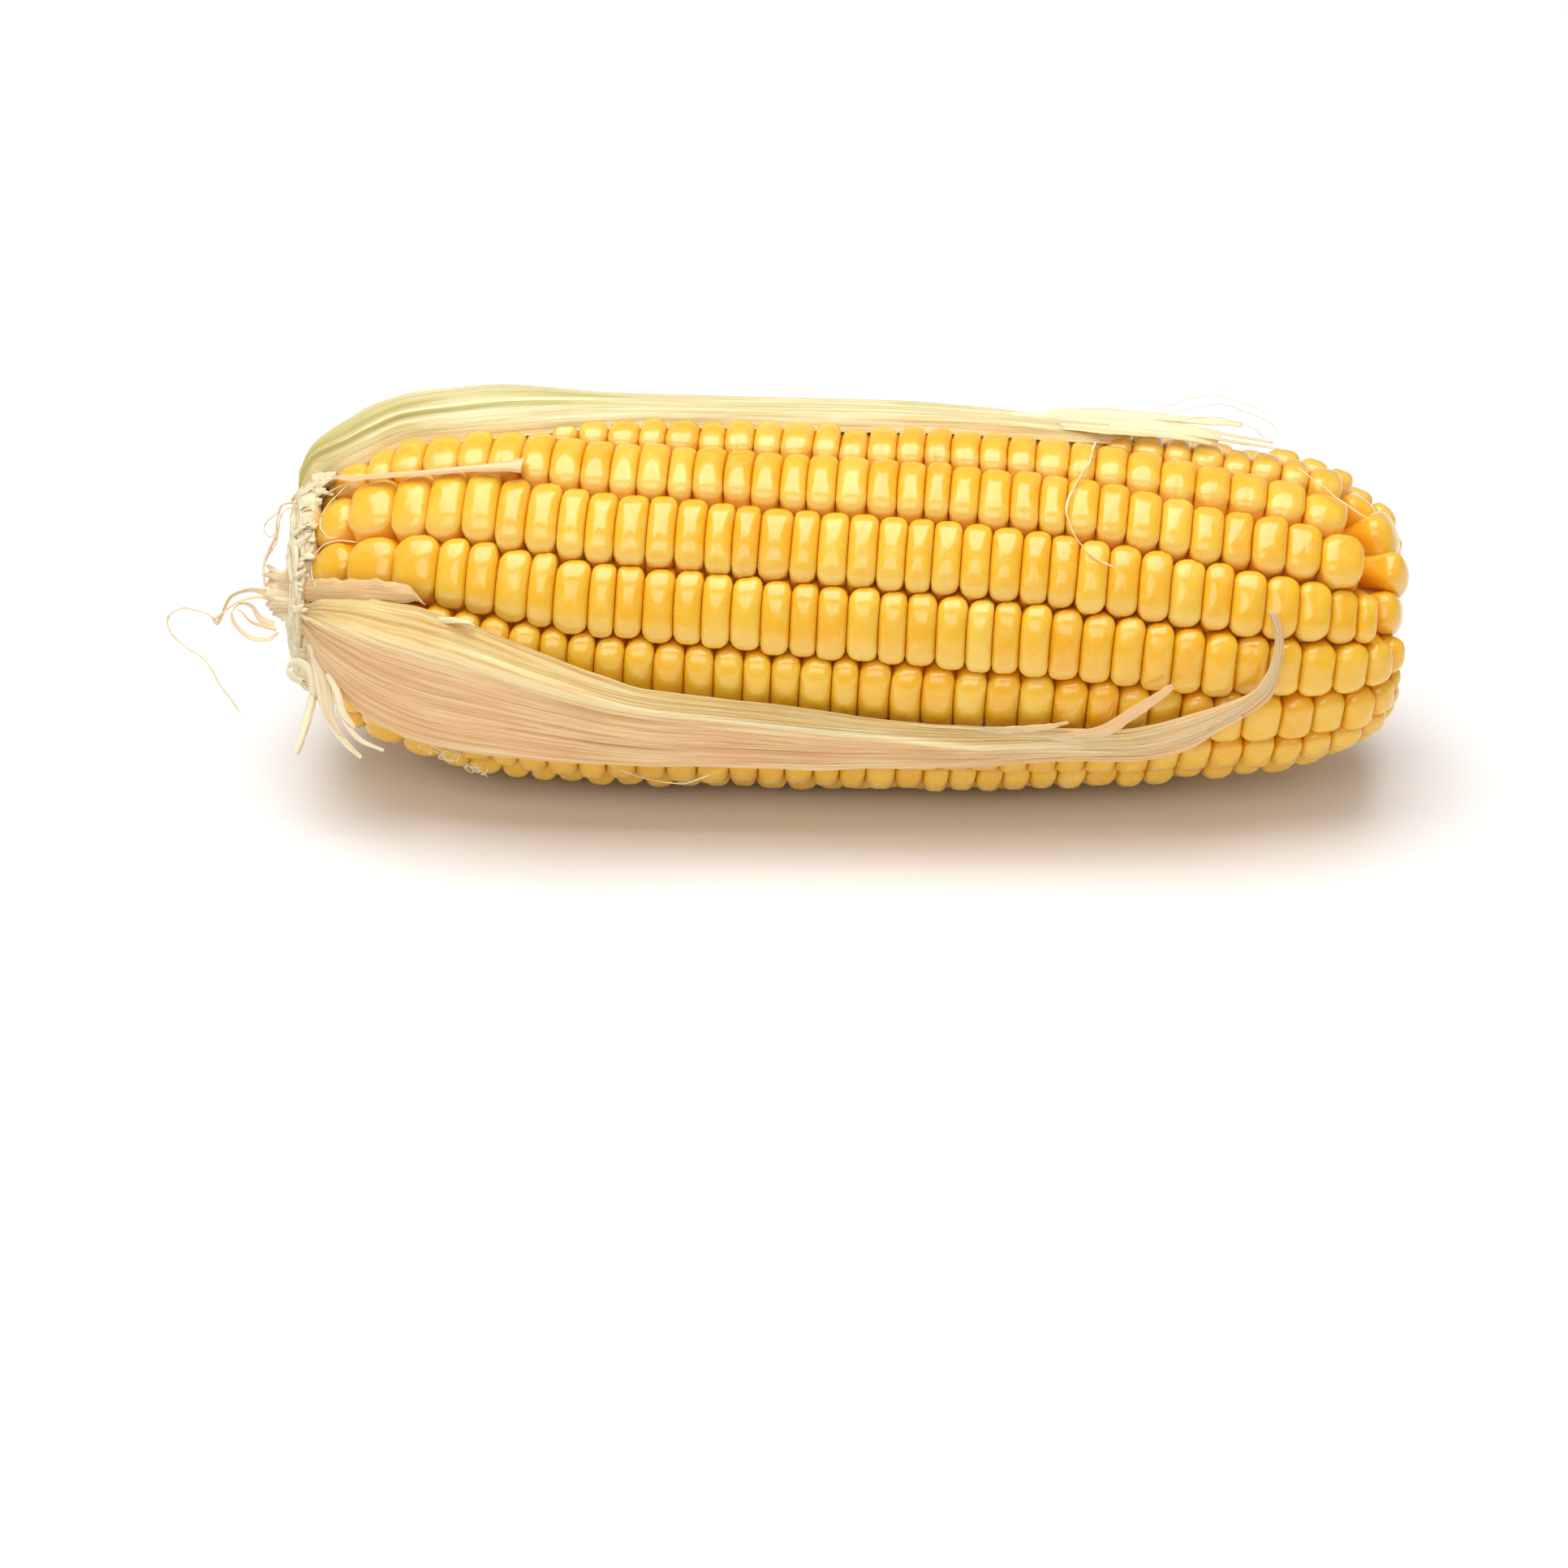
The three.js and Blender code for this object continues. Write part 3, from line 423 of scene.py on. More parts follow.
def build_kernels():
    rng = np.random.default_rng(41)
    ks = []  # one record per kernel: row, t, bearing, half pitch, half width, slope, n, bow
    half = math.pi / ROWS
    for k in range(1, ROWS + 1):
        if k in SEAMS:
            marks = list(t_of_x(np.array(SEAMS[k])))
        else:
            marks = [float(rng.uniform(0.2, 1.6))]
            while marks[-1] < T_END - rng.uniform(3.0, 6.0):
                marks.append(marks[-1] + float(pitch(marks[-1])) * rng.uniform(0.88, 1.12))
        end = T_END - 0.1 - rng.uniform(0.0, 0.8)
        if k in SHORT_ROWS:
            end = float(t_of_x(SHORT_ROWS[k]))
            marks = [m_ for m_ in marks if m_ < end - 2.0]
        while end - marks[-1] > 6.2:
            marks.append(marks[-1] + float(pitch(marks[-1])) * rng.uniform(0.95, 1.1))
        if end - marks[-1] > 2.2:
            marks.append(end)
        for j, (a, b) in enumerate(zip(marks, marks[1:])):
            t = (a + b) / 2
            x = float(profile_x(t))
            lo_e, hi_e = float(row_edge(k - 1, x)), float(row_edge(k, x))
            phi = math.radians(float(twist(x)) + (lo_e + hi_e) / 2)
            r = float(profile_r(t))
            slope = math.radians((float(twist(x + 1)) - float(twist(x - 1))) / 2) * r
            ks.append(dict(row=k, j=j, last=(j == len(marks) - 2), first=(j == 0), t=t, phi=phi + rng.normal(0, 0.13) / r, r=r, a=(b - a) / 2,
                           b=r * math.radians(hi_e - lo_e) / 2, slope=slope + rng.normal(0, 0.018), bow=rng.normal(0.10, 0.14), seed=rng.uniform(0, 100),
                           tint=rng.beta(6, 6), high=rng.normal(0, 0.13)))
    t = np.array([q["t"] for q in ks]); phi = np.array([q["phi"] for q in ks]); r = np.array([q["r"] for q in ks])
    A = np.array([q["a"] for q in ks]); B = np.array([q["b"] for q in ks])
    S = 0.45 * np.array([q["slope"] for q in ks]); BOW = np.array([q["bow"] for q in ks])
    ends = np.clip(np.minimum(t, T_END - t) / 18.0, 0, 1)
    N = 3.5 + 0.5 * ends
    over_a, over_b = 1.10, 1.22

    def gauge(j, P, Q, scale):
        """Value of kernel j's outline function at offsets P along and Q across the row, measured where radii are `scale` of its own."""
        q = Q / scale
        p = P + S[j] * q - BOW[j] * (q / B[j]) ** 2
        return (np.abs(p / (A[j] * over_a)) ** N[j] + np.abs(q / (B[j] * over_b)) ** N[j]) ** (1 / N[j])

    M = 40
    tau = np.linspace(0, 2 * math.pi, M, endpoint=False)
    crown_u = np.array([0.20, 0.38, 0.54, 0.67, 0.77, 0.85, 0.915, 0.96, 0.988, 1.0])
    skirt = np.array([0.12, 0.45, 0.9, 1.8, 3.6, 6.2, 8.6])
    steps = np.linspace(0.45, 1.0, 34)
    rows = {k: [] for k in range(1, ROWS + 1)}
    for i, q in enumerate(ks):
        dphi = (phi - phi[i] + math.pi) % (2 * math.pi) - math.pi
        near = [j for j in range(len(ks)) if j != i and abs(t[j] - t[i]) < 11 and abs(dphi[j]) < half * 3.2]
        direction = np.stack([A[i] * np.cos(tau), B[i] * np.sin(tau)], -1)
        # Undo this kernel's own lean and bow, so the rays follow its outline.
        g0 = (np.abs(np.cos(tau) / over_a) ** N[i] + np.abs(np.sin(tau) / over_b) ** N[i]) ** (1 / N[i])
        reach = 1 / g0
        lam = steps[None, :] * reach[:, None]
        qq = direction[:, 1:2] * lam
        pp = direction[:, 0:1] * lam - S[i] * qq + BOW[i] * (qq / B[i]) ** 2
        gi = lam * g0[:, None]
        other = np.full(lam.shape, 9.0)
        for j in near:
            other = np.minimum(other, gauge(j, pp - (t[j] - t[i]), qq - r[i] * dphi[j], r[i] / r[j]))
        lost = other < gi
        cut = np.where(lost.any(1), lost.argmax(1), len(steps) - 1)
        lim = reach.copy()
        for a_ in range(M):
            c = cut[a_]
            if lost[a_].any():
                if c == 0:
                    lim[a_] = lam[a_, 0]
                else:
                    d0 = other[a_, c - 1] - gi[a_, c - 1]
                    d1 = other[a_, c] - gi[a_, c]
                    w = d0 / (d0 - d1 + 1e-9)
                    lim[a_] = lam[a_, c - 1] + (lam[a_, c] - lam[a_, c - 1]) * w
        soft = (np.roll(lim, 1) + 2 * lim + np.roll(lim, -1)) / 4
        lim = np.minimum(0.5 * lim + 0.5 * soft, lim * 1.01)
        # A hair's breadth between kernels.
        size = lim * np.hypot(direction[:, 0], direction[:, 1])
        lim = lim * (1 - 0.012 / np.maximum(size, 0.5))
        # The crown is a bar with round ends; only a low shelf under its rim reaches out to the neighbours.
        rc = 0.93 * A[i]
        lo_, hi_ = np.full(M, 0.3), np.full(M, 1.6)
        for _ in range(22):
            mid_ = (lo_ + hi_) / 2
            ex, ey = np.abs(direction[:, 0]) * mid_ - (A[i] * 1.03 - rc), np.abs(direction[:, 1]) * mid_ - (B[i] * 1.01 - rc)
            sd = np.hypot(np.maximum(ex, 0), np.maximum(ey, 0)) + np.minimum(np.maximum(ex, ey), 0) - rc
            lo_, hi_ = np.where(sd < 0, mid_, lo_), np.where(sd < 0, hi_, mid_)
        cap = np.minimum(lim, lo_)
        late = float(np.clip((q["t"] - 112) / 30, 0, 1))
        early = float(np.clip((14 - q["t"]) / 14, 0, 1))
        H = float(depth(q["t"])) + q["high"] * (1 + 1.6 * late)
        if q["last"]:
            H += rng.uniform(-0.7, 0.5)
        drop_p, drop_q = 1.45 + 0.4 * (1 - ends[i]), 2.25
        dent = max(0.0, rng.normal(0.03 + 0.16 * late, 0.07))
        dent_q = rng.normal(0.0, 0.25)
        w1, w2, w3 = rng.uniform(0, 6.28, 3)
        V, tint_v, across, edge, foot = [], [], [], [], []

        def ring(u, h_off, squeeze, sink):
            # Below the rim the shelves run a little into one another, so no hole is left between kernels.
            reach_ = lim * (1 + 0.08 * min(1.0, max(0.0, (h_off - 0.8) / 1.0)))
            out = cap + (reach_ - cap) * (min(1.0, 0.06 + 0.50 * h_off) if sink else 0.0)
            qq = direction[:, 1] * out * u
            pp = direction[:, 0] * out * u * squeeze - S[i] * qq + BOW[i] * (qq / B[i]) ** 2
            d = drop_p * np.cos(tau) ** 2 + drop_q * np.sin(tau) ** 2
            uu = min(u, 1.0)
            fall = d * (1 - (1 - uu ** 2.25) ** (1 / 2.1))
            qn, pn = qq / B[i], pp / A[i]
            hh = H - fall - h_off
            if not sink:
                hh = hh - dent * np.exp(-(((qn - dent_q) / 0.55) ** 2) - (pn / 0.75) ** 2)
                hh = hh + 0.05 * (1 + late) * np.sin(2.2 * qn + w1) * np.cos(1.7 * pn + w2) + 0.03 * late * np.sin(6 * qn + 3 * pn + w3)
            V.append(ear_point(q["t"] + pp, q["phi"] + qq / q["r"], hh))
            tint_v.append(np.full(M, q["tint"])); across.append(qn); edge.append(np.full(M, uu))
            foot.append(np.full(M, min(1.0, h_off / 8.6)))

        for u in crown_u:
            ring(float(u), 0.0, 1.0, False)
        for h_off in skirt:
            hmax = max(0.0, H - drop_q - 0.05)
            ring(1.0, min(h_off, hmax - 0.02 * (8.6 - h_off)) if h_off > 3 else h_off, 1 - 0.012 * h_off, True)
        V = np.concatenate(V)
        n_ring = len(crown_u) + len(skirt)
        top = ear_point(np.array([q["t"]]), np.array([q["phi"]]), np.array([H - dent * math.exp(-(dent_q / 0.55) ** 2) + 0.05 * (1 + late) * math.sin(w1) * math.cos(w2)]))
        bot = V[-M:].mean(0, keepdims=True)
        V = np.concatenate([V, top, bot])
        a0 = np.arange(M); a1 = (a0 + 1) % M
        quads = np.concatenate([np.stack([k_ * M + a0, (k_ + 1) * M + a0, (k_ + 1) * M + a1, k_ * M + a1], -1) for k_ in range(n_ring - 1)])
        nt_, nb_ = n_ring * M, n_ring * M + 1
        tris = np.concatenate([np.stack([np.full(M, nt_), a0, a1], -1), np.stack([np.full(M, nb_), (n_ring - 1) * M + a1, (n_ring - 1) * M + a0], -1)])
        at = {"tint": np.full(len(V), q["tint"]), "across": np.concatenate([np.concatenate(across), [0, 0]]),
              "edge": np.concatenate([np.concatenate(edge), [0, 1]]), "foot": np.concatenate([np.concatenate(foot), [0, 1]])}
        rows[q["row"]].append((V, [quads, tris], at))
    for k, q in enumerate(TIP_KERNELS):
        rows[q[0]].append(tip_kernel(*q[1:], seed=k))
    for k, parts in rows.items():
        v, f, a = join_parts(parts)
        ob = add_mesh(f"kernels_{k:02d}", v, f, KERNEL, a)
        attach(ob, "root")
        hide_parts(f"kernel_row_{k:02d}")
    return ks


KS = build_kernels()

# ------------------------------------------------------------------ lattice noise for shapes
def lattice(seed, nu, nv):
    return np.random.default_rng(seed).uniform(-1, 1, (nu + 3, nv + 3))


def vnoise(grid, u, v):
    """Smooth noise from -1 to 1 on a lattice, u and v in lattice cells."""
    u = np.mod(np.asarray(u, float), grid.shape[0] - 2)
    v = np.mod(np.asarray(v, float), grid.shape[1] - 2)
    i, j = u.astype(int), v.astype(int)
    fu, fv = u - i, v - j
    fu, fv = fu * fu * (3 - 2 * fu), fv * fv * (3 - 2 * fv)
    g = grid
    return (g[i, j] * (1 - fu) + g[i + 1, j] * fu) * (1 - fv) + (g[i, j + 1] * (1 - fu) + g[i + 1, j + 1] * fu) * fv


def smooth(x, a, b):
    t = np.clip((x - a) / (b - a), 0, 1)
    return t * t * (3 - 2 * t)


# ------------------------------------------------------------------ husk leaf, silk and core materials
def leaf_material(name, body, warm, pale, vein, green, translucent=0.35):
    """body, warm (pinkish), pale (edges, and painted highlights along ridges), vein (dark lines) and green are linear
    colours.
    """
    m, nt, b = new_material(name)
    lu, lv = attr(nt, "lu"), attr(nt, "lv")
    comb = nt.nodes.new("ShaderNodeCombineXYZ")
    nt.links.new(math_node(nt, "MULTIPLY", lu, 0.0011), comb.inputs[0])
    nt.links.new(lv, comb.inputs[1])
    vec = comb.outputs[0]
    fine = noise(nt, vec, 46, 3, 0.62)
    mid = noise(nt, vec, 17, 2, 0.55)
    base = mix_rgb(nt, attr(nt, "warm"), body, warm)
    base = mix_rgb(nt, attr(nt, "green"), base, green)
    base = mix_rgb(nt, attr(nt, "pale"), base, pale)
    cloud = noise(nt, coords(nt), 70, 3, 0.6)
    base = mix_rgb(nt, map_range(nt, cloud, 0.40, 0.72, 0.0, 0.30), base, pale)
    clean = math_node(nt, "SUBTRACT", 1.0, math_node(nt, "MULTIPLY", math_node(nt, "MAXIMUM", attr(nt, "pale"), attr(nt, "plain")), 0.75))
    f1 = math_node(nt, "MULTIPLY", clean, map_range(nt, fine, 0.50, 0.60, 0.0, 0.62))
    base = mix_rgb(nt, f1, base, vein)
    f2 = math_node(nt, "MULTIPLY", clean, map_range(nt, mid, 0.52, 0.62, 0.0, 0.50))
    base = mix_rgb(nt, f2, base, vein)
    f3 = map_range(nt, fine, 0.46, 0.34, 0.0, 0.60)
    base = mix_rgb(nt, f3, base, pale)
    base = mix_rgb(nt, math_node(nt, "MULTIPLY", attr(nt, "plain"), 0.55), base, (0.98, 0.60, 0.29))
    # olive deepens the grooves: partly the leaf's own green, partly painted shade in the groove
    base = mix_rgb(nt, attr(nt, "olive"), base, (0.47, 0.44, 0.11))
    # dark: the leaf's own streaks and dried marks, plus painted shade in furrows and grooves
    base = mix_rgb(nt, attr(nt, "dark"), base, mix_rgb(nt, 0.35, vein, (0.20, 0.11, 0.03)))
    nt.links.new(base, b.inputs["Base Color"])
    b.inputs["Roughness"].default_value = 0.52
    b.inputs["Subsurface Weight"].default_value = translucent
    b.inputs["Subsurface Radius"].default_value = (1.0, 0.62, 0.28)
    b.inputs["Subsurface Scale"].default_value = 0.0004
    height = math_node(nt, "ADD", fine, math_node(nt, "MULTIPLY", mid, 0.6))
    bump(nt, b, height, 0.45, 0.0005)
    return m


LEAF = leaf_material("husk_leaf", body=(0.88, 0.60, 0.27), warm=(0.89, 0.54, 0.27), pale=(0.98, 0.81, 0.48), vein=(0.66, 0.36, 0.11), green=(0.74, 0.56, 0.17))
LEAF_GREEN = leaf_material("husk_leaf_green", body=(0.84, 0.73, 0.40), warm=(0.88, 0.62, 0.31), pale=(0.95, 0.86, 0.57), vein=(0.58, 0.46, 0.14), green=(0.60, 0.53, 0.15))
PAPER = leaf_material("husk_paper", body=(0.86, 0.70, 0.42), warm=(0.84, 0.55, 0.30), pale=(0.95, 0.84, 0.60), vein=(0.62, 0.42, 0.20), green=(0.66, 0.62, 0.28), translucent=0.3)


def silk_material():
    m, nt, b = new_material("corn_silk")
    n = noise(nt, coords(nt), 260, 3, 0.6)
    col = ramp(nt, n, [(0.30, (0.80, 0.50, 0.20)), (0.5, (0.95, 0.76, 0.44)), (0.72, (1.0, 0.90, 0.66))])
    nt.links.new(col, b.inputs["Base Color"])
    b.inputs["Roughness"].default_value = 0.35
    b.inputs["Subsurface Weight"].default_value = 0.4
    b.inputs["Subsurface Radius"].default_value = (1.0, 0.7, 0.4)
    b.inputs["Subsurface Scale"].default_value = 0.0006
    bump(nt, b, noise(nt, coords(nt), 2600, 2, 0.5), 0.2, 0.0002)
    return m


SILK = silk_material()


def core_material():
    """Chaff between the kernels, pith and wood at the two cut ends."""
    m, nt, b = new_material("cob_core")
    vec = coords(nt)
    pith, cut = attr(nt, "pith"), attr(nt, "cut")
    speck = noise(nt, vec, 520, 4, 0.65)
    chaff = ramp(nt, speck, [(0.30, (0.72, 0.36, 0.07)), (0.5, (0.93, 0.60, 0.16)), (0.72, (0.98, 0.80, 0.42))])
    wood = ramp(nt, noise(nt, vec, 900, 4, 0.7), [(0.30, (0.70, 0.52, 0.26)), (0.5, (0.90, 0.78, 0.50)), (0.70, (0.97, 0.92, 0.74))])
    core = ramp(nt, noise(nt, vec, 700, 3, 0.6), [(0.35, (0.90, 0.80, 0.58)), (0.65, (0.98, 0.95, 0.86))])
    face = mix_rgb(nt, pith, wood, core)
    dots = nt.nodes.new("ShaderNodeTexVoronoi")
    dots.inputs["Scale"].default_value = 950
    nt.links.new(vec, dots.inputs["Vector"])
    spot = map_range(nt, dots.outputs["Distance"], 0.10, 0.26, 0.55, 0.0)
    face = mix_rgb(nt, spot, face, (0.52, 0.36, 0.14))
    nt.links.new(mix_rgb(nt, cut, chaff, face), b.inputs["Base Color"])
    b.inputs["Roughness"].default_value = 0.8
    b.inputs["Subsurface Weight"].default_value = 0.3
    b.inputs["Subsurface Radius"].default_value = (1.0, 0.6, 0.3)
    b.inputs["Subsurface Scale"].default_value = 0.0012
    bump(nt, b, noise(nt, vec, 1300, 4, 0.7), 0.5, 0.0006)
    return m


CORE = core_material()


# ------------------------------------------------------------------ thin sheets, ribbons and threads
def sheet(P, relief, thick, attrs, nu_len=None):
    """A closed thin shell on a grid of points P[i, j] pushed outwards by relief[i, j]."""
    def normals(G):
        du = np.gradient(G, axis=0)
        dv = np.gradient(G, axis=1)
        n = np.cross(du, dv)
        return n / np.maximum(np.linalg.norm(n, axis=2, keepdims=True), 1e-9)
    N = normals(P)
    P = P + N * relief[..., None]
    N = normals(P)
    nu, nv = P.shape[0] - 1, P.shape[1] - 1
    jj = np.linspace(0, 1, nv + 1)[None, :]
    rim = np.minimum(1, 0.35 + 6 * np.minimum(jj, 1 - jj))
    t = (np.asarray(thick) * rim * np.ones(P.shape[:2]))[..., None] / 2
    A, B = P + N * t, P - N * t
    V = np.concatenate([A.reshape(-1, 3), B.reshape(-1, 3)])
    w, off = nv + 1, (nu + 1) * (nv + 1)
    i, j = np.meshgrid(np.arange(nu), np.arange(nv), indexing="ij")
    q = (i * w + j).reshape(-1)
    top = np.stack([q, q + w, q + w + 1, q + 1], -1)
    low = np.stack([q, q + 1, q + w + 1, q + w], -1) + off
    rims = []
    a = np.arange(nu)
    for col, flip in ((0, False), (nv, True)):
        e0, e1 = a * w + col, (a + 1) * w + col
        f = np.stack([e0, e0 + off, e1 + off, e1], -1)
        rims.append(f[:, ::-1] if flip else f)
    c = np.arange(nv)
    for row, flip in ((0, True), (nu, False)):
        e0, e1 = row * w + c, row * w + c + 1
        f = np.stack([e0, e0 + off, e1 + off, e1], -1)
        rims.append(f[:, ::-1] if flip else f)
    at = {k: np.tile((np.asarray(x) * np.ones(P.shape[:2])).reshape(-1), 2) for k, x in attrs.items()}
    return V, [np.concatenate([top, low] + rims)], at


def resample(points, n):
    """Smooth path through points: (n, 3+) samples evenly along it."""
    p = np.asarray(points, float)
    d = np.concatenate([[0], np.cumsum(np.linalg.norm(np.diff(p[:, :3], axis=0), axis=1))])
    f = [curve(list(zip(d, p[:, c]))) for c in range(p.shape[1])]
    s = np.linspace(0, d[-1], n)
    return np.stack([g(s) for g in f], -1), s


def ribbon(points, face, thick=0.16, nu=60, nv=8, curl=0.0, seed=1, rough=0.06, taper=0.0, **fixed):
    """points: (x, y, z, width, twist degrees); face: the way its flat side looks before twisting; curl bends it across."""
    pts = [tuple(p) + (0,) * (5 - len(p)) for p in points]
    path, s = resample(pts, nu + 1)
    c, w, tw = path[:, :3], path[:, 3], np.radians(path[:, 4])
    tan = np.gradient(c, axis=0)
    tan /= np.linalg.norm(tan, axis=1, keepdims=True) + 1e-9
    f = np.tile(np.asarray(face, float), (nu + 1, 1)) if np.ndim(face) == 1 else np.asarray(face)
    f = f - (f * tan).sum(1, keepdims=True) * tan
    f /= np.linalg.norm(f, axis=1, keepdims=True) + 1e-9
    side = np.cross(f, tan)
    f, side = f * np.cos(tw)[:, None] + side * np.sin(tw)[:, None], side * np.cos(tw)[:, None] - f * np.sin(tw)[:, None]
    V_ = np.linspace(0, 1, nv + 1)
    g = lattice(seed, 40, nv + 4)
    U2, V2 = np.meshgrid(np.linspace(0, 1, nu + 1), V_, indexing="ij")
    if taper:
        w = w * (1 - smooth(np.linspace(0, 1, nu + 1), 1 - taper, 1.0) * 0.94)
    across = (V2 - 0.5) * w[:, None] * (1 + 0.10 * vnoise(lattice(seed + 7, 30, 4), U2 * 13, V2 * 2))
    bend = curl * (V2 - 0.5) ** 2 * w[:, None] * 2
    P = c[:, None, :] + side[:, None, :] * across[..., None] - f[:, None, :] * bend[..., None]
    relief = rough * vnoise(g, U2 * 9, V2 * (nv * 0.5))
    at = dict(lu=s[:, None] * np.ones_like(V2), lv=(V2 - 0.5) * np.mean(w) / 14 + seed * 0.37, green=0, warm=0, pale=0.3, dark=0)
    at.update(fixed)
    V, F, A = sheet(P, relief, thick, at)
    return V, F, A


def tube(points, r, n=80, sides=8, seed=1, wobble=0.0):
    path, s = resample([tuple(p)[:3] for p in points], n)
    rng = np.random.default_rng(seed)
    if wobble:
        for c in range(3):
            path[:, c] += wobble * vnoise(lattice(seed * 3 + c, 60, 2), s * 0.55, 0 * s)
    tan = np.gradient(path, axis=0)
    tan /= np.linalg.norm(tan, axis=1, keepdims=True) + 1e-9
    ref = np.array([0.31, 0.55, 0.77])
    a = np.cross(tan, ref)
    a /= np.linalg.norm(a, axis=1, keepdims=True) + 1e-9
    b = np.cross(tan, a)
    rr = r * (1 + 0.18 * vnoise(lattice(seed + 11, 80, 2), s * 1.3, 0 * s)) * (1 - 0.75 * smooth(s / s[-1], 0.93, 1.0))
    th = np.linspace(0, 2 * math.pi, sides, endpoint=False)
    V = path[:, None, :] + (a[:, None, :] * np.cos(th)[None, :, None] * 1.25 + b[:, None, :] * np.sin(th)[None, :, None] * 0.8) * rr[:, None, None]
    V = V.reshape(-1, 3)
    k, c = np.meshgrid(np.arange(n - 1), np.arange(sides), indexing="ij")
    q0 = (k * sides + c).reshape(-1)
    q1 = (k * sides + (c + 1) % sides).reshape(-1)
    quads = np.stack([q0, q1, q1 + sides, q0 + sides], -1)
    e0, e1 = n * sides, n * sides + 1
    V = np.concatenate([V, path[:1], path[-1:]])
    c = np.arange(sides)
    tri = np.concatenate([np.stack([np.full(sides, e0), (c + 1) % sides, c], -1), np.stack([np.full(sides, e1), (n - 1) * sides + c, (n - 1) * sides + (c + 1) % sides], -1)])
    return V, [quads, tri], dict(lu=np.zeros(len(V)))


def finish_piece(name, parts, mats, node):
    v, f, a = join_parts(parts)
    ob = add_mesh(name, v, f, mats, a)
    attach(ob, "root")
    for n in (node if isinstance(node, (list, tuple)) else [node]):
        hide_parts(n)
    return ob


# How far from the axis the husk lies where it leaves the stalk and covers the first kernels.
leaf_r = curve([(-80, 8.6), (-77.0, 8.9), (-76.0, 9.8), (-75.2, 10.8)] + PROFILE)


def round_ear(x, bearing_deg, r):
    b = np.radians(bearing_deg)
    return np.stack([x + 0 * r, -np.cos(b) * r, -np.sin(b) * r], -1)


# ------------------------------------------------------------------ the long front leaf
FRONT_LEAF = [
    # one edge (place along the axis, bearing), the other edge, and how far the middle stands off
    (-75.2, -22.0, -75.2, -2.0, 0.3), (-73.4, -20.5, -74.2, 0.5, 0.5), (-72.4, -22.6, -73.4, 3.5, 0.8), (-71.2, -24.5, -72.4, 6.9, 1.0),
    (-69.3, -25.2, -70.7, 10.6, 1.1), (-66.7, -25.5, -68.8, 15.4, 1.1), (-64.2, -25.2, -66.5, 20.0, 1.1), (-61.4, -24.3, -63.8, 23.6, 1.0), (-58.1, -23.4, -60.5, 26.4, 0.9),
    (-55.3, -21.9, -57.2, 27.6, 0.8), (-52.6, -20.4, -53.9, 27.6, 0.7), (-49.6, -18.0, -50.0, 27.6, 0.6), (-44.7, -13.9, -45.1, 27.6, 0.5),
    (-38.3, -9.0, -39.1, 28.2, 0.45), (-32.1, -4.1, -32.6, 29.0, 0.4), (-25.8, -0.7, -26.2, 29.2, 0.35), (-17.7, 1.4, -18.6, 28.6, 0.3), (-9.8, 3.4, -10.5, 29.0, 0.3),
    (-4.6, 5.0, -4.7, 29.3, 0.3), (1.9, 6.9, 2.5, 28.0, 0.3), (8.4, 8.3, 9.5, 27.0, 0.3), (15.8, 9.6, 15.9, 26.4, 0.3), (21.1, 9.9, 21.3, 25.2, 0.3), (26.5, 10.4, 28.0, 24.4, 0.3),
    (31.3, 11.5, 33.1, 24.8, 0.3), (35.8, 11.8, 37.4, 25.4, 0.3), (39.4, 10.1, 40.8, 24.9, 0.3), (44.0, 7.6, 44.4, 21.9, 0.3), (48.5, 4.0, 47.9, 15.2, 0.3),
    (52.0, -0.1, 52.1, 8.0, 0.2), (53.5, -4.3, 54.9, 1.2, 0.15), (54.5, -9.9, 55.7, -7.6, 0.1), (54.9, -16.2, 56.0, -14.8, 0.1), (54.8, -21.4, 55.9, -21.6, 0.1), (53.8, -27.7, 54.9, -27.2, 0.1),
]


def station_curves(table):
    mids = np.array([[(p[0] + p[2]) / 2, (p[1] + p[3]) / 2] for p in table])
    xyz = np.array([round_ear(np.array(a), b, leaf_r(a)) for a, b in mids])
    d = np.concatenate([[0], np.cumsum(np.linalg.norm(np.diff(xyz, axis=0), axis=1))])
    return [curve([(s, p[c]) for s, p in zip(d, table)]) for c in range(len(table[0]))], d[-1]


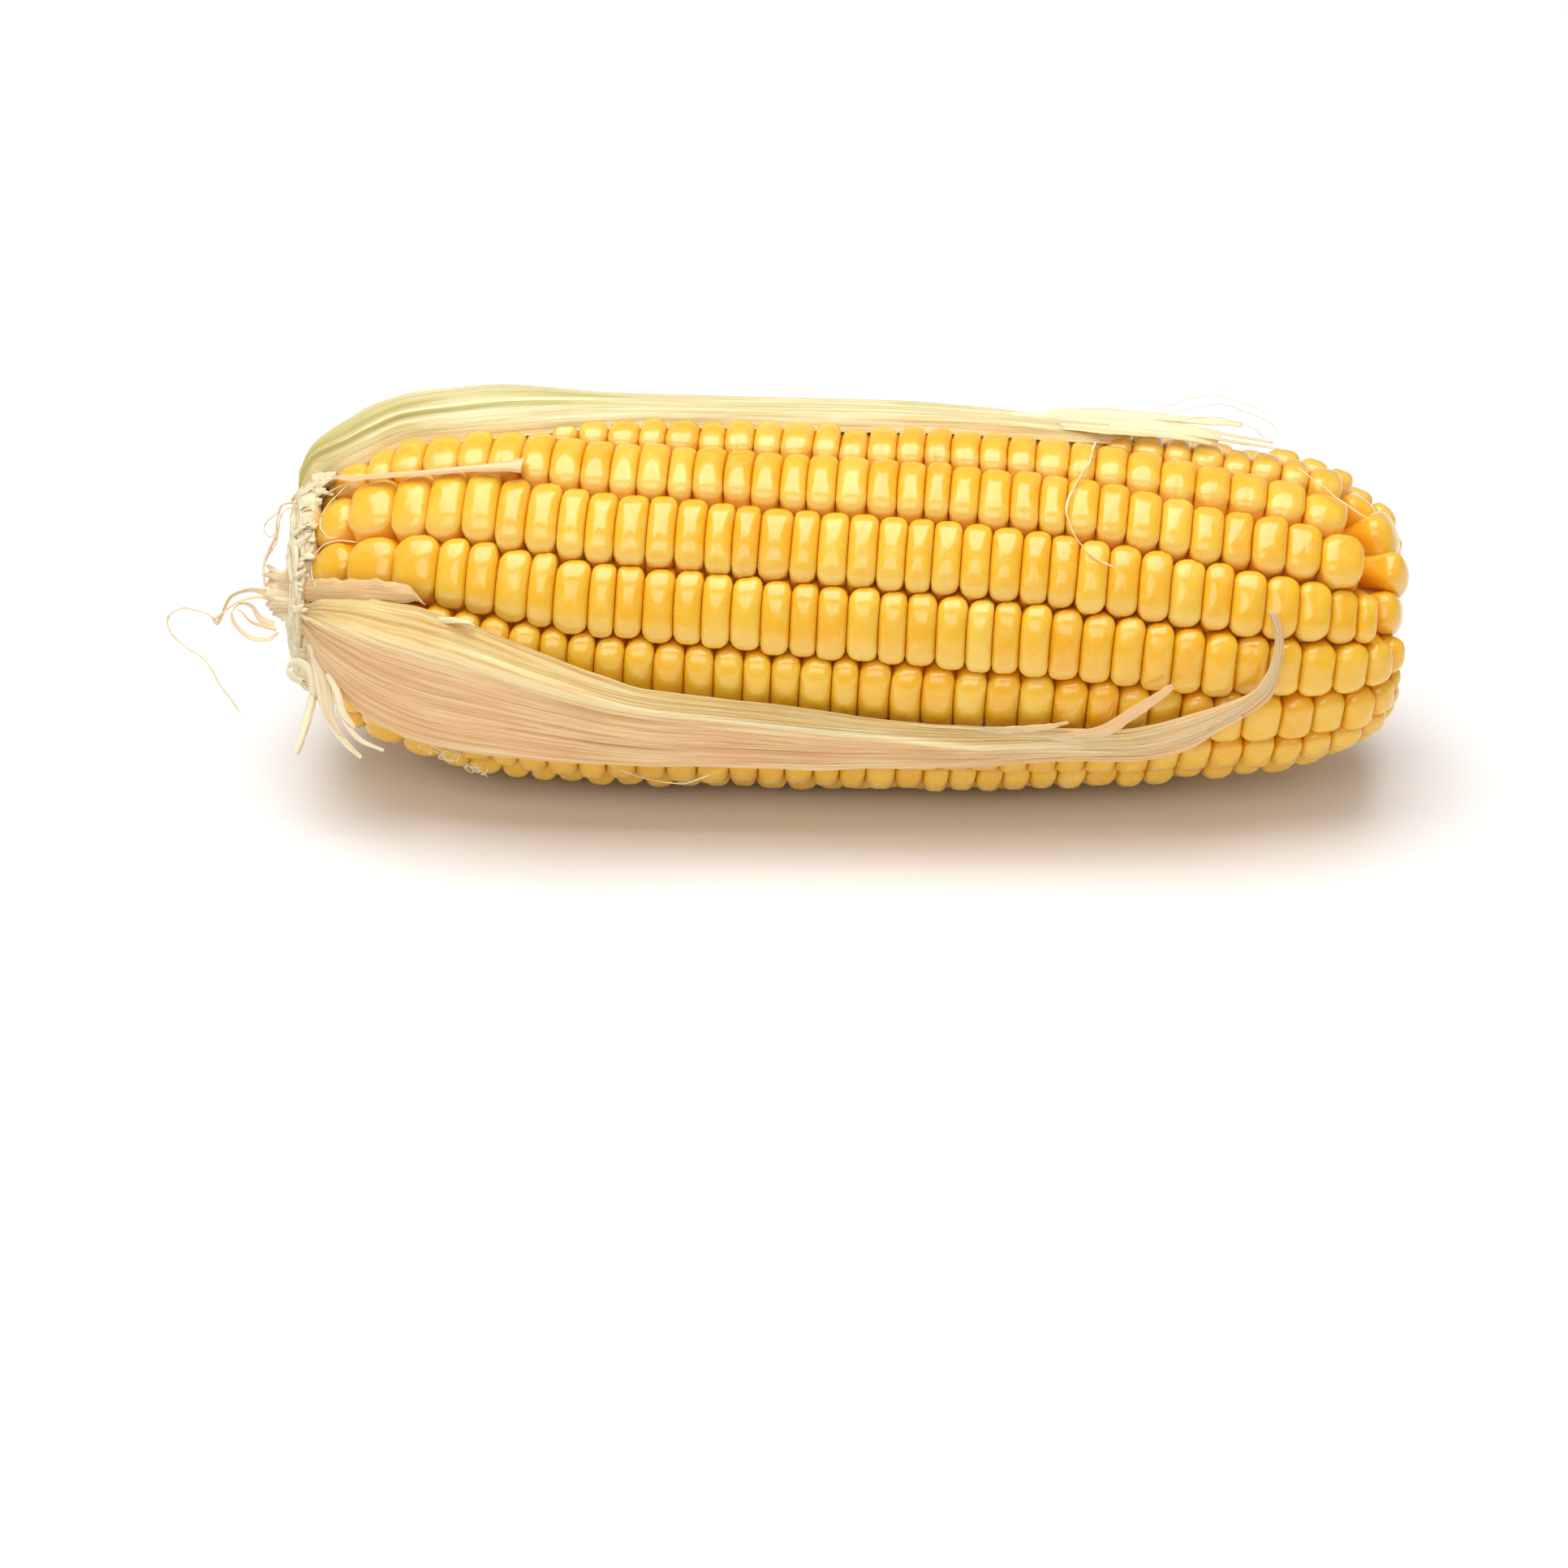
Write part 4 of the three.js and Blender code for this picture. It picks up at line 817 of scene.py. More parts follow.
def front_leaf():
    (xa, ba, xb, bb, bulge), L = station_curves(FRONT_LEAF)
    nu, nv = 250, 140
    U, V = np.meshgrid(np.linspace(0, 1, nu + 1), np.linspace(0, 1, nv + 1), indexing="ij")
    s = U * L
    g1, g2, g3, g4 = lattice(5, 14, 90), lattice(6, 9, 34), lattice(7, 8, 8), lattice(8, 60, 4)
    edge_a, edge_b = smooth(V, 0.12, 0.0), smooth(V, 0.88, 1.0)
    wav = vnoise(g4, U * 34, 0 * V) * edge_a + vnoise(g4, U * 27 + 9, 1 + 0 * V) * edge_b
    x = xa(s) * (1 - V) + xb(s) * V
    b = ba(s) * (1 - V) + bb(s) * V + 0.35 * wav
    vr = np.interp(x, [-76, -72, -60, -30, 5, 20, 60], [0.40, 0.31, 0.25, 0.20, 0.26, 0.42, 0.5])
    fold = np.interp(x, [-76, -68, -50, -20, 15, 40, 60], [0.4, 1.3, 1.7, 1.1, 0.7, 0.3, 0.05])
    crease = np.exp(-(np.sqrt((V - vr) ** 2 + 0.0004) - 0.02) / 0.11)
    off = 1.05 + bulge(s) * 4 * V * (1 - V) + fold * crease
    # The lower edge stands a little proud and rolls out at the wide end.
    off = off + 0.9 * smooth(V, 0.75, 1.0) * np.interp(x, [-76, -66, -50, -20, 10, 70], [0.0, 1.0, 0.8, 0.35, 0.2, 0.0])
    wide = smooth(x, 48, 36)
    r = leaf_r(x) + off
    P = round_ear(x, b, r)
    relief = (0.10 * vnoise(g1, U * 6, V * 88) + 0.20 * vnoise(g2, U * 4, V * 28)) * (0.35 + 0.65 * wide) + 0.32 * vnoise(g3, U * 7.5, V * 5) * wide
    # Long split furrow in the end that curls up over the rows.
    furrow = np.exp(-((V - 0.62) / 0.035) ** 2) * smooth(x, 34, 40)
    relief = relief - 0.30 * furrow
    root = smooth(x, -70, -76)
    green = smooth(V, vr + 0.02, vr - 0.06) * np.interp(x, [-76, -70, -40, -10, 25, 60], [0.35, 0.75, 0.6, 0.7, 0.35, 0.0])
    green = np.maximum(green, 0.45 * np.exp(-((V - vr - 0.035) / 0.03) ** 2) * smooth(x, -66, -40) * smooth(x, 40, 10))
    warm = smooth(V, vr - 0.02, vr + 0.10) * np.interp(x, [-76, -60, -10, 20, 45, 60], [0.85, 1.0, 0.9, 0.80, 1.0, 1.0])
    # pale: a painted highlight along the fold's crest, the leaf's pale lower edge, and towards the curled end the
    # leaf's paler colour with painted light where it turns from the lamps
    pale = np.clip(np.interp(x, [-76, -45, -15], [0.45, 0.55, 1.0]) * np.exp(-((V - vr) / 0.045) ** 2) * smooth(x, -76, -70) + 0.5 * smooth(V, 0.90, 1.0) + np.interp(x, [10, 28, 42, 60], [0.0, 0.40, 0.12, 0.08]) * np.exp(-((V - 0.40) / 0.42) ** 2), 0, 1)
    streak = vnoise(lattice(9, 10, 60), U * 6, V * 52)
    # the 0.35 * furrow term is painted shade in the split furrow; the rest is the leaf's own streaks and dried root
    dark = np.clip(0.26 * smooth(streak, 0.45, 0.95) * smooth(x, 46, 30) + 0.45 * root * smooth(np.abs(vnoise(lattice(10, 6, 40), U * 6, V * 34)), 0.3, 0.8) + 0.35 * furrow, 0, 0.8)
    warm = np.maximum(warm, 0.40 * smooth(x, -25, -60))
    parts = [sheet(P, relief, 0.30, dict(lu=s, lv=V, green=green, warm=warm, pale=pale, dark=dark, plain=smooth(x, 34, 46)))]

    def side_strip(rows, seed, off0, off1, **kw):
        (ra, pa, rb, pb), l2 = station_curves([r_[:4] for r_ in rows])
        n1, n2 = 70, 16
        U2, V2 = np.meshgrid(np.linspace(0, 1, n1 + 1), np.linspace(0, 1, n2 + 1), indexing="ij")
        s2 = U2 * l2
        x2 = ra(s2) * (1 - V2) + rb(s2) * V2
        b2 = pa(s2) * (1 - V2) + pb(s2) * V2 + 0.2 * vnoise(lattice(seed, 30, 3), U2 * 20, V2)
        P2 = round_ear(x2, b2, leaf_r(x2) + off0 + (off1 - off0) * smooth(U2, 0.0, 0.3))
        rel = 0.05 * vnoise(lattice(seed + 1, 12, 14), U2 * 8, V2 * 12)
        at = dict(lu=s2, lv=V2 * 0.2 + seed, green=0, warm=0.55, pale=0.15 + 0.6 * smooth(V2, 0.75, 1.0), dark=0.20 * smooth(V2, 0.15, 0.0), plain=0.8)
        at.update(kw)
        return sheet(P2, rel, 0.26, at)

    # A strip split off the upper edge, a small barb beside it, and curled scraps along the edge.
    parts.append(side_strip([(22.0, 12.0, 23.0, 17.2), (26.5, 11.6, 27.6, 16.2), (30.2, 10.6, 31.3, 14.8), (32.9, 8.5, 34.0, 12.3), (36.1, 3.4, 36.5, 7.6), (39.3, -1.1, 39.3, 2.6), (41.5, -4.7, 41.9, -2.8)], 31, 1.15, 1.55))
    parts.append(side_strip([(16.0, 9.6, 16.2, 12.0), (21.0, 9.2, 21.3, 11.6), (25.0, 8.6, 25.4, 10.6), (28.2, 7.6, 28.3, 8.2)], 33, 1.25, 1.35, warm=0.1, pale=0.6))
    parts.append(side_strip([(40.0, 17.0, 40.4, 20.2), (44.0, 15.0, 44.4, 17.6), (48.0, 11.0, 48.4, 12.9), (50.8, 7.4, 51.2, 8.2)], 35, 1.4, 1.62, warm=0.2, pale=0.7))
    p = [(*round_ear(np.array(x_), b_, leaf_r(x_) + o_), w_, tw_) for x_, b_, o_, w_, tw_ in
         [(-56.0, -21.0, 1.2, 1.0, 0), (-54.0, -20.2, 1.6, 1.0, 25), (-52.0, -20.4, 2.2, 0.9, 55), (-50.4, -20.0, 2.3, 0.8, 80), (-49.8, -18.6, 1.9, 0.5, 110)]]
    parts.append(ribbon(p, (0, -0.87, 0.5), nu=40, nv=6, curl=0.8, seed=12, pale=0.9, warm=0.2))
    finish_piece("husk_front", parts, LEAF, "husk_leaf_front")


front_leaf()


# ------------------------------------------------------------------ the long leaf along the top and back
BACK_LEAF = [
    # near edge: place, bearing, distance from the axis; crest: the same; far edge: the same
    (-75.9, -96.0, 10.6, -76.4, -119.0, 11.8, -76.0, -150.0, 11.4), (-74.9, -100.0, 14.6, -76.3, -119.0, 15.9, -75.6, -156.0, 14.6), (-73.6, -102.0, 17.0, -74.9, -119.0, 19.4, -74.6, -160.0, 17.6),
    (-71.6, -99.5, 17.9, -72.0, -119.0, 21.9, -72.2, -163.0, 19.8), (-69.2, -97.0, 18.9, -69.5, -119.0, 23.4, -69.8, -164.0, 21.2), (-66.8, -96.4, 20.2, -67.0, -119.0, 24.9, -67.2, -164.5, 22.6),
    (-62.8, -99.6, 22.2, -62.8, -119.0, 26.5, -62.8, -164.0, 24.4), (-59.2, -97.4, 23.2, -59.2, -119.0, 27.2, -59.0, -163.0, 25.4), (-54.5, -92.4, 24.4, -55.0, -119.0, 27.7, -54.5, -161.0, 26.2),
    (-49.6, -90.6, 25.3, -49.8, -119.0, 28.2, -49.6, -159.0, 26.6), (-43.2, -91.1, 26.0, -43.4, -119.0, 28.1, -43.2, -157.0, 26.8), (-37.0, -93.6, 26.3, -37.0, -119.0, 27.7, -37.0, -155.0, 26.9),
    (-28.5, -95.8, 26.4, -28.5, -119.0, 27.5, -28.5, -152.0, 27.0), (-17.7, -96.5, 26.4, -17.7, -119.0, 27.4, -17.7, -148.0, 27.0), (-6.8, -96.1, 26.4, -6.8, -119.0, 27.3, -6.8, -144.0, 27.0),
    (4.0, -96.0, 26.4, 4.0, -118.0, 27.2, 4.0, -140.0, 27.0), (14.0, -96.0, 26.4, 14.0, -117.0, 27.1, 14.0, -136.0, 26.9), (21.1, -95.0, 26.3, 21.0, -116.0, 27.1, 21.0, -133.0, 26.8),
    (27.0, -95.0, 26.0, 27.0, -115.0, 27.0, 27.0, -131.0, 26.6), (31.1, -96.0, 25.8, 31.1, -114.0, 27.0, 31.1, -128.0, 26.5), (35.6, -99.0, 26.2, 35.6, -114.5, 27.0, 35.6, -126.0, 26.6),
]


def back_leaf():
    mids = np.array([round_ear(np.array(p[3]), p[4], p[5]) for p in BACK_LEAF])
    d = np.concatenate([[0], np.cumsum(np.linalg.norm(np.diff(mids, axis=0), axis=1))])
    f = [curve([(s_, p[c]) for s_, p in zip(d, BACK_LEAF)]) for c in range(9)]
    L = d[-1]
    nu, nv = 230, 150
    U, V = np.meshgrid(np.linspace(0, 1, nu + 1), np.linspace(0, 1, nv + 1), indexing="ij")
    s = U * L
    g1, g2, g3, g4 = lattice(15, 14, 110), lattice(16, 9, 44), lattice(17, 8, 9), lattice(18, 60, 4)
    # Half of the leaf's grid lies between the near edge and the crest.
    w0, w1, w2 = 2 * (V - 0.5) * (V - 1), 4 * V * (1 - V), 2 * V * (V - 0.5)
    X, B, R = [f[c](s) * w0 + f[c + 3](s) * w1 + f[c + 6](s) * w2 for c in (0, 1, 2)]
    B = B + 0.35 * (vnoise(g4, U * 34, 0 * V) * smooth(V, 0.12, 0.0) + vnoise(g4, U * 27 + 9, 1 + 0 * V) * smooth(V, 0.88, 1.0))
    # The near edge lies down on the crowns.
    tuck = smooth(V, 0.13, 0.0) * smooth(X, -74.6, -72.0)
    R = R * (1 - tuck) + (leaf_r(np.maximum(X, -74.6)) + 0.16) * tuck
    R = R - 1.25 * smooth(V, 0.055, 0.0) * smooth(X, -72.4, -70.5)
    low_end = smooth(U, 0.72, 0.95)
    R = R * (1 - low_end) + np.minimum(R, leaf_r(np.clip(X, -70, 60)) + 0.55) * low_end
    # The other end is torn into teeth.
    tooth = np.abs(np.mod(V * 5.5 + 0.20, 1.0) - 0.5) * 4 - 1 + 0.35 * vnoise(lattice(20, 4, 40), 0 * V, V * 34)
    torn_end = smooth(U, 0.87, 1.0)
    X = X + torn_end * (1.0 + 4.0 * tooth)
    P = round_ear(X, B, R)
    groove_v = 0.150 + 0.012 * np.sin(U * 9)
    left = smooth(X, -20, -50)
    groove = np.exp(-((V - groove_v) / 0.020) ** 2) * left
    groove2 = np.exp(-((V - 0.285) / 0.020) ** 2) * left
    relief = 0.075 * vnoise(g1, U * 8, V * 100) + 0.12 * vnoise(g2, U * 5, V * 40) + 0.20 * vnoise(g3, U * 7.5, V * 6) - 0.60 * groove - 0.35 * groove2 + 0.35 * np.exp(-((V - groove_v - 0.055) / 0.03) ** 2) * left
    relief = relief * smooth(U, 0.0, 0.05) * (1 - 0.8 * tuck)
    streak = vnoise(lattice(19, 10, 70), U * 6, V * 60)
    # the grooves' green and olive are partly the leaf's own colour, partly painted shade in the grooves
    green = np.clip(0.60 * groove + 0.40 * groove2 + 0.42 * np.exp(-((V - 0.36) / 0.08) ** 2) * left + 0.25 * smooth(streak, 0.2, 0.9) * smooth(X, 25, -40) + 0.35 * smooth(X, -66, -76), 0, 1)
    warm = np.clip(0.95 * smooth(V, 0.12, 0.03) + 0.5 * smooth(X, 0, 36), 0, 1)
    olive = np.clip(0.80 * groove + 0.45 * groove2 + 0.16 * smooth(streak, 0.35, 0.9) * smooth(X, 10, -45), 0, 0.85)
    # painted highlight: a pale line along the ridge beside the groove; the far half past the crest is paler
    pale = np.clip(0.65 * np.exp(-((V - groove_v - 0.055) / 0.028) ** 2) * left + 0.6 * smooth(V, 0.48, 0.62), 0, 1)
    # the groove term is painted shade; the streaks are the leaf's own
    dark = np.clip(0.30 * groove * smooth(X, -40, -64) + 0.20 * smooth(streak, 0.6, 1.0), 0, 0.6)
    at = dict(lu=s, lv=V * 1.25, green=green, warm=warm, pale=pale, dark=dark, olive=olive)
    parts = [sheet(P[:, ::-1], relief[:, ::-1], 0.30, {k: v[:, ::-1] for k, v in at.items()})]
    strand_face = seen(0, 0.85, 1.0)

    def tail(rows, seed, **kw):
        """rows: place along the axis, upward, clearance off the crowns, width, twist."""
        pts = []
        for x_, u_, o_, w_, tw_ in rows:
            out = math.sqrt(max((float(leaf_r(x_)) + o_) ** 2 - u_ * u_, 1.0))
            pts.append((*seen(x_, u_, out), w_, tw_))
        return ribbon(pts, strand_face, thick=0.2, nu=70, nv=10, seed=seed, rough=0.07, **kw)

    # Strands the end of the leaf has torn into.
    parts.append(tail([(25.0, 25.9, 0.8, 2.2, 0), (33.0, 26.0, 1.0, 2.2, 0), (39.0, 25.8, 1.2, 1.8, 5), (45.0, 25.4, 1.6, 1.5, 10), (51.0, 25.0, 2.0, 1.3, 15)], 41, warm=0.1, pale=0.75))
    parts.append(tail([(20.0, 24.6, 0.7, 2.6, 0), (28.0, 24.5, 0.8, 3.0, 0), (36.0, 24.1, 0.9, 3.0, 0), (42.0, 23.6, 1.1, 2.6, -4), (47.6, 22.4, 1.3, 1.2, -10)], 42, warm=0.2, pale=0.8))
    parts.append(tail([(26.0, 23.8, 0.6, 1.3, 0), (34.0, 23.2, 0.8, 1.5, 0), (41.0, 22.8, 1.0, 1.2, -6), (46.6, 21.7, 1.2, 0.6, -14)], 43, warm=0.85, pale=0.35))
    parts.append(tail([(32.0, 24.9, 1.1, 1.3, 0), (42.0, 24.4, 1.4, 1.0, 0), (49.0, 23.2, 1.6, 0.7, 10), (54.8, 22.2, 1.8, 0.35, 20)], 44, warm=0.7, pale=0.5))
    parts.append(tail([(33.0, 23.8, 1.0, 1.0, 0), (42.0, 23.2, 1.3, 0.8, 0), (49.0, 22.2, 1.5, 0.5, -10), (55.6, 21.2, 1.7, 0.3, -20)], 45, warm=0.85, pale=0.35))
    # Loose hairs beyond the torn end.
    for k, rows in enumerate([
        [(38.0, 26.4, 4.4), (42.0, 27.4, 4.8), (46.5, 28.4, 5.4), (50.0, 27.6, 5.8), (55.0, 26.2, 6.0)],
        [(40.0, 26.0, 4.6), (44.5, 26.8, 4.8), (49.0, 27.0, 5.0), (53.0, 25.6, 5.2), (56.5, 23.6, 5.2)],
        [(42.0, 25.2, 3.4), (47.0, 25.6, 3.6), (51.0, 24.6, 3.8), (54.0, 22.6, 3.8)],
    ]):
        V_, F_, A_ = tube([seen(x_, u_, o_ + 2.0) for x_, u_, o_ in rows], 0.075, n=70, seed=60 + k, wobble=0.25)
        A_ = dict(lu=0, lv=0, green=0, warm=0.2, pale=1.0, dark=0)
        parts.append((V_, F_, A_))
    finish_piece("husk_back", parts, LEAF_GREEN, "husk_leaf_back")


back_leaf()


# ------------------------------------------------------------------ short pieces of husk
def small_husk():
    cam_face = seen(0, 0.3, 1.0)
    # Flap above the front leaf's root.
    rows = [(-74.2, -33.6, -74.2, -21.5, 0.0), (-70.5, -33.2, -70.5, -23.0, 0.0), (-67.7, -32.2, -67.7, -23.6, 0.0), (-64.2, -32.2, -64.2, -24.0, 0.0), (-61.2, -31.0, -60.6, -23.8, 0.0), (-59.0, -29.8, -58.2, -24.6, 0.0), (-57.6, -26.0, -56.4, -24.2, 0.0)]
    (xa, ba, xb, bb, _b), L = station_curves(rows)
    U, V = np.meshgrid(np.linspace(0, 1, 91), np.linspace(0, 1, 27), indexing="ij")
    s = U * L
    x, b = xa(s) * (1 - V) + xb(s) * V, ba(s) * (1 - V) + bb(s) * V
    b = b + 0.5 * vnoise(lattice(23, 30, 3), U * 16, V)
    off = 0.9 + 0.9 * V * (1.25 - V) + 0.30 * vnoise(lattice(24, 12, 4), U * 7, V * 2)
    P = round_ear(x, b, leaf_r(x) + off)
    parts = [sheet(P, 0.06 * vnoise(lattice(25, 12, 24), U * 6, V * 20), 0.24, dict(lu=s, lv=V * 0.3, green=0.1, warm=0.5, pale=0.25 * smooth(V, 0.4, 0.0), dark=0.26 + 0.40 * smooth(V, 0.45, 0.95)))]
    for k, (px, up_, out) in enumerate([(-71.0, 0.2, 16.4), (-69.6, 0.0, 17.6)]):
        c = [(*seen(px + 1.3 * math.cos(a_) * (1 - 0.10 * a_), up_ + 0.62 * math.sin(a_), out + 0.3 * math.cos(a_)), 0.55, 20 * a_) for a_ in np.linspace(0.4, 5.6, 9)]
        parts.append(ribbon(c, cam_face, thick=0.15, nu=50, nv=5, curl=0.8, seed=70 + k, pale=0.8, warm=0.3))
    finish_piece("husk_flap_torn", parts, LEAF, "husk_flap")

    # Narrow strip along the seam between two rows, upper left, flared at its free end.
    p = [(*round_ear(np.array(x_), b_, leaf_r(x_) + o_), w_, tw_) for x_, b_, o_, w_, tw_ in
         [(-72.4, -90.0, 1.6, 1.8, 10), (-70.2, -84.0, 1.2, 1.8, 15), (-68.0, -78.8, 0.9, 1.8, 20), (-65.1, -75.8, 0.7, 1.7, 20), (-59.9, -72.4, 0.6, 1.7, 20),
          (-53.6, -70.6, 0.6, 1.8, 20), (-50.2, -70.2, 0.7, 2.0, 20), (-47.8, -70.0, 0.9, 2.4, 15), (-45.6, -69.8, 1.2, 2.9, 10), (-44.4, -69.4, 1.4, 3.1, 5)]]
    faces = np.array([[0, -math.cos(math.radians(b_)), -math.sin(math.radians(b_))] for b_ in np.interp(np.linspace(0, 1, 91), [0, 0.25, 1], [-90, -76, -70])])
    finish_piece("husk_strip_torn", [ribbon(p, faces, thick=0.2, nu=90, nv=8, curl=0.35, seed=81, warm=0.9, pale=0.45)], LEAF, "husk_strip")

    # Shreds hanging at the butt, each a few torn strips.
    def hang(rows, seed, **kw):
        return ribbon([(*seen(x_, u_, o_), w_, tw_) for x_, u_, o_, w_, tw_ in rows], cam_face, thick=0.2, nu=60, nv=8, seed=seed, rough=0.05, **kw)
    one = [
        hang([(-73.2, -4.2, 11.6, 2.0, 0), (-72.8, -8.0, 12.2, 1.6, 5), (-72.3, -11.5, 12.6, 1.3, 0), (-72.5, -15.0, 13.0, 1.1, -5)], 91, green=0.55, warm=0.0, pale=0.5, curl=0.5),
        hang([(-72.4, -14.6, 13.0, 1.0, 0), (-72.7, -12.6, 13.2, 1.1, 20), (-73.5, -10.8, 13.4, 1.4, 50), (-74.7, -10.2, 13.4, 1.5, 80), (-75.7, -10.8, 13.2, 1.4, 100), (-75.2, -11.9, 13.0, 1.2, 120), (-74.0, -12.6, 13.0, 0.9, 140)], 92, green=0.15, warm=0.0, pale=0.8, curl=0.5),
        hang([(-72.5, -14.4, 13.0, 1.1, 0), (-73.0, -17.0, 13.2, 1.1, 5), (-73.6, -19.4, 13.4, 1.0, 12), (-74.5, -22.3, 13.6, 0.9, 20)], 93, green=0.1, warm=0.0, pale=0.9, curl=0.4),
    ]
    finish_piece("husk_shred_a", one, PAPER, "husk_shred_1")
    two = [
        hang([(-72.9, -7.4, 13.0, 1.2, 0), (-72.0, -10.6, 13.8, 1.2, 0), (-71.2, -14.4, 14.2, 1.2, 5), (-69.8, -17.9, 14.6, 1.1, 10), (-67.9, -20.4, 14.8, 0.9, 15), (-65.6, -22.6, 14.8, 0.5, 20)], 94, green=0.15, warm=0.2, pale=0.7, curl=0.4),
        hang([(-72.2, -9.0, 13.4, 1.2, 0), (-71.0, -11.6, 14.6, 1.3, 0), (-70.4, -14.1, 15.0, 1.3, 0), (-69.7, -17.3, 15.0, 1.0, 5), (-67.9, -20.2, 14.6, 0.5, 10)], 95, green=0.0, warm=0.4, pale=0.6, curl=0.3),
        hang([(-70.2, -11.4, 15.4, 0.9, 0), (-68.9, -14.0, 16.2, 1.0, 0), (-67.9, -16.8, 16.2, 0.9, 0), (-66.4, -18.6, 15.8, 0.4, 0)], 96, green=0.0, warm=0.1, pale=0.9, curl=0.3),
        hang([(-69.0, -14.0, 15.6, 0.8, 0), (-68.2, -17.0, 15.8, 0.8, 0), (-66.0, -20.0, 15.4, 0.7, 0), (-62.6, -21.6, 15.0, 0.4, 0)], 97, green=0.0, warm=0.1, pale=0.9, curl=0.3),
    ]
    finish_piece("husk_shred_b", two, PAPER, "husk_shred_2")


small_husk()


# ------------------------------------------------------------------ collar of torn husk bases
def collar():
    rng = np.random.default_rng(7)
    n_a, n_p = 240, 26
    ang = np.linspace(-180, 180, n_a, endpoint=False)
    # Section of the band, going round from the stalk over the outer lip and back underneath: place along the axis, distance from the axis.
    sec = np.array([(-72.4, 9.0), (-74.2, 9.2), (-75.6, 9.5), (-76.2, 10.2), (-76.2, 11.2), (-75.8, 12.2), (-75.1, 13.0), (-74.2, 13.5), (-73.4, 13.5), (-72.8, 12.8), (-72.5, 11.6), (-72.3, 10.2)])
    t = np.linspace(0, len(sec), n_p, endpoint=False)
    idx = t.astype(int)
    fr = t - idx
    S_ = sec[idx % len(sec)] * (1 - fr)[:, None] + sec[(idx + 1) % len(sec)] * fr[:, None]
    T_, A_ = np.meshgrid(np.arange(n_p) / n_p, ang, indexing="xy")
    g = lattice(51, 60, 16)
    torn = vnoise(g, (A_ + 180) / 360 * 58, T_ * 3)
    outer = smooth(S_[None, :, 1] + 0 * A_, 10.2, 13.0)
    swell = 1 + outer * (0.15 * np.exp(-(((A_ + 100) / 42) ** 2)) + 0.03 * np.sin(np.radians(A_ * 3)))
    R = S_[None, :, 1] * swell + 0.32 * torn * outer
    X = S_[None, :, 0] + 0.38 * vnoise(g, (A_ + 180) / 360 * 55 + 3, T_ * 5 + 4) * (0.3 + outer) + 0.15 * vnoise(g, (A_ + 180) / 360 * 23, T_ * 2)
    P = round_ear(X, A_, R).reshape(-1, 3)
    i, j = np.meshgrid(np.arange(n_a), np.arange(n_p), indexing="ij")
    q = lambda a_, b_: (a_ % n_a) * n_p + (b_ % n_p)
    F = np.stack([q(i, j), q(i, j + 1), q(i + 1, j + 1), q(i + 1, j)], -1).reshape(-1, 4)
    band = (P, [F], dict(lu=(R.reshape(-1) * 2), lv=((A_ / 360) * 3.0).reshape(-1), green=(0.30 + 0.30 * vnoise(g, (A_ + 180) / 360 * 30, T_ * 2)).reshape(-1),
                         warm=(0.25 + 0.5 * smooth(vnoise(g, (A_ + 180) / 360 * 17 + 5, T_ * 2), 0.1, 0.6)).reshape(-1), pale=0.55, dark=np.clip(0.22 * torn, 0, 0.3).reshape(-1)))
    parts = [band]
    # Torn fibres standing off the band, over the first kernels and back towards the stalk.
    for k in range(80):
        b0 = rng.uniform(-180, 180)
        if k < 16:
            b0 = rng.uniform(-135, -30)
        swell0 = 1 + 0.15 * math.exp(-(((b0 + 100) / 42) ** 2))
        r0 = rng.uniform(11.2, 13.2) * swell0
        length = rng.uniform(0.9, 2.1)
        lean = rng.uniform(-4, 4)
        forward = rng.random() < 0.95
        pts = []
        for s_ in np.linspace(0, 1, 5):
            if forward:
                x_ = -75.6 + (0.8 + length) * s_ * 0.85
                r_ = r0 + 1.6 * math.sin(s_ * 1.5) + rng.uniform(-0.15, 0.15)
                r_ = max(r_, float(leaf_r(max(x_, -74.5))) + 0.35) if x_ > -73.6 else r_
            else:
                x_ = -75.8 - 0.55 * length * math.sin(s_ * 1.4)
                r_ = r0 - 1.2 + 0.5 * length * (s_ ** 1.5) * rng.uniform(0.6, 1.0)
            pts.append((*round_ear(np.array(x_), b0 + lean * s_ * s_, np.array(r_)), rng.uniform(0.7, 1.4) * (1.15 - 0.8 * s_), rng.uniform(-10, 10)))
        face = np.array([0.15, -math.cos(math.radians(b0)), -math.sin(math.radians(b0))])
        parts.append(ribbon(pts, face, thick=0.14, nu=12, nv=3, curl=0.25, seed=200 + k, green=float(rng.uniform(0.1, 0.5)), warm=float(rng.uniform(0, 0.35)), pale=float(rng.uniform(0.4, 0.9)), dark=float(rng.uniform(0, 0.06))))
    # Pinkish papery lumps at the upper left of the band.
    for k, (x_, u_, o_, w_) in enumerate([(-75.4, 15.2, 1.5, 2.0), (-75.9, 14.0, 2.4, 1.7), (-75.0, 13.4, 3.0, 1.8), (-75.8, 12.4, 3.6, 1.4), (-74.6, 16.4, 0.8, 1.6)]):
        pts = [(*seen(x_ + 1.0 * math.sin(1.7 * a_ + k), u_ - 0.9 * a_, o_ + 0.5 * a_), w_ * (1 - 0.35 * a_), 40 * a_ + 25 * k) for a_ in np.linspace(0, 1, 5)]
        parts.append(ribbon(pts, seen(0, 0.4, 1.0), thick=0.18, nu=24, nv=8, curl=1.4, seed=400 + k, rough=0.16, warm=0.85, pale=0.15, dark=0.12))
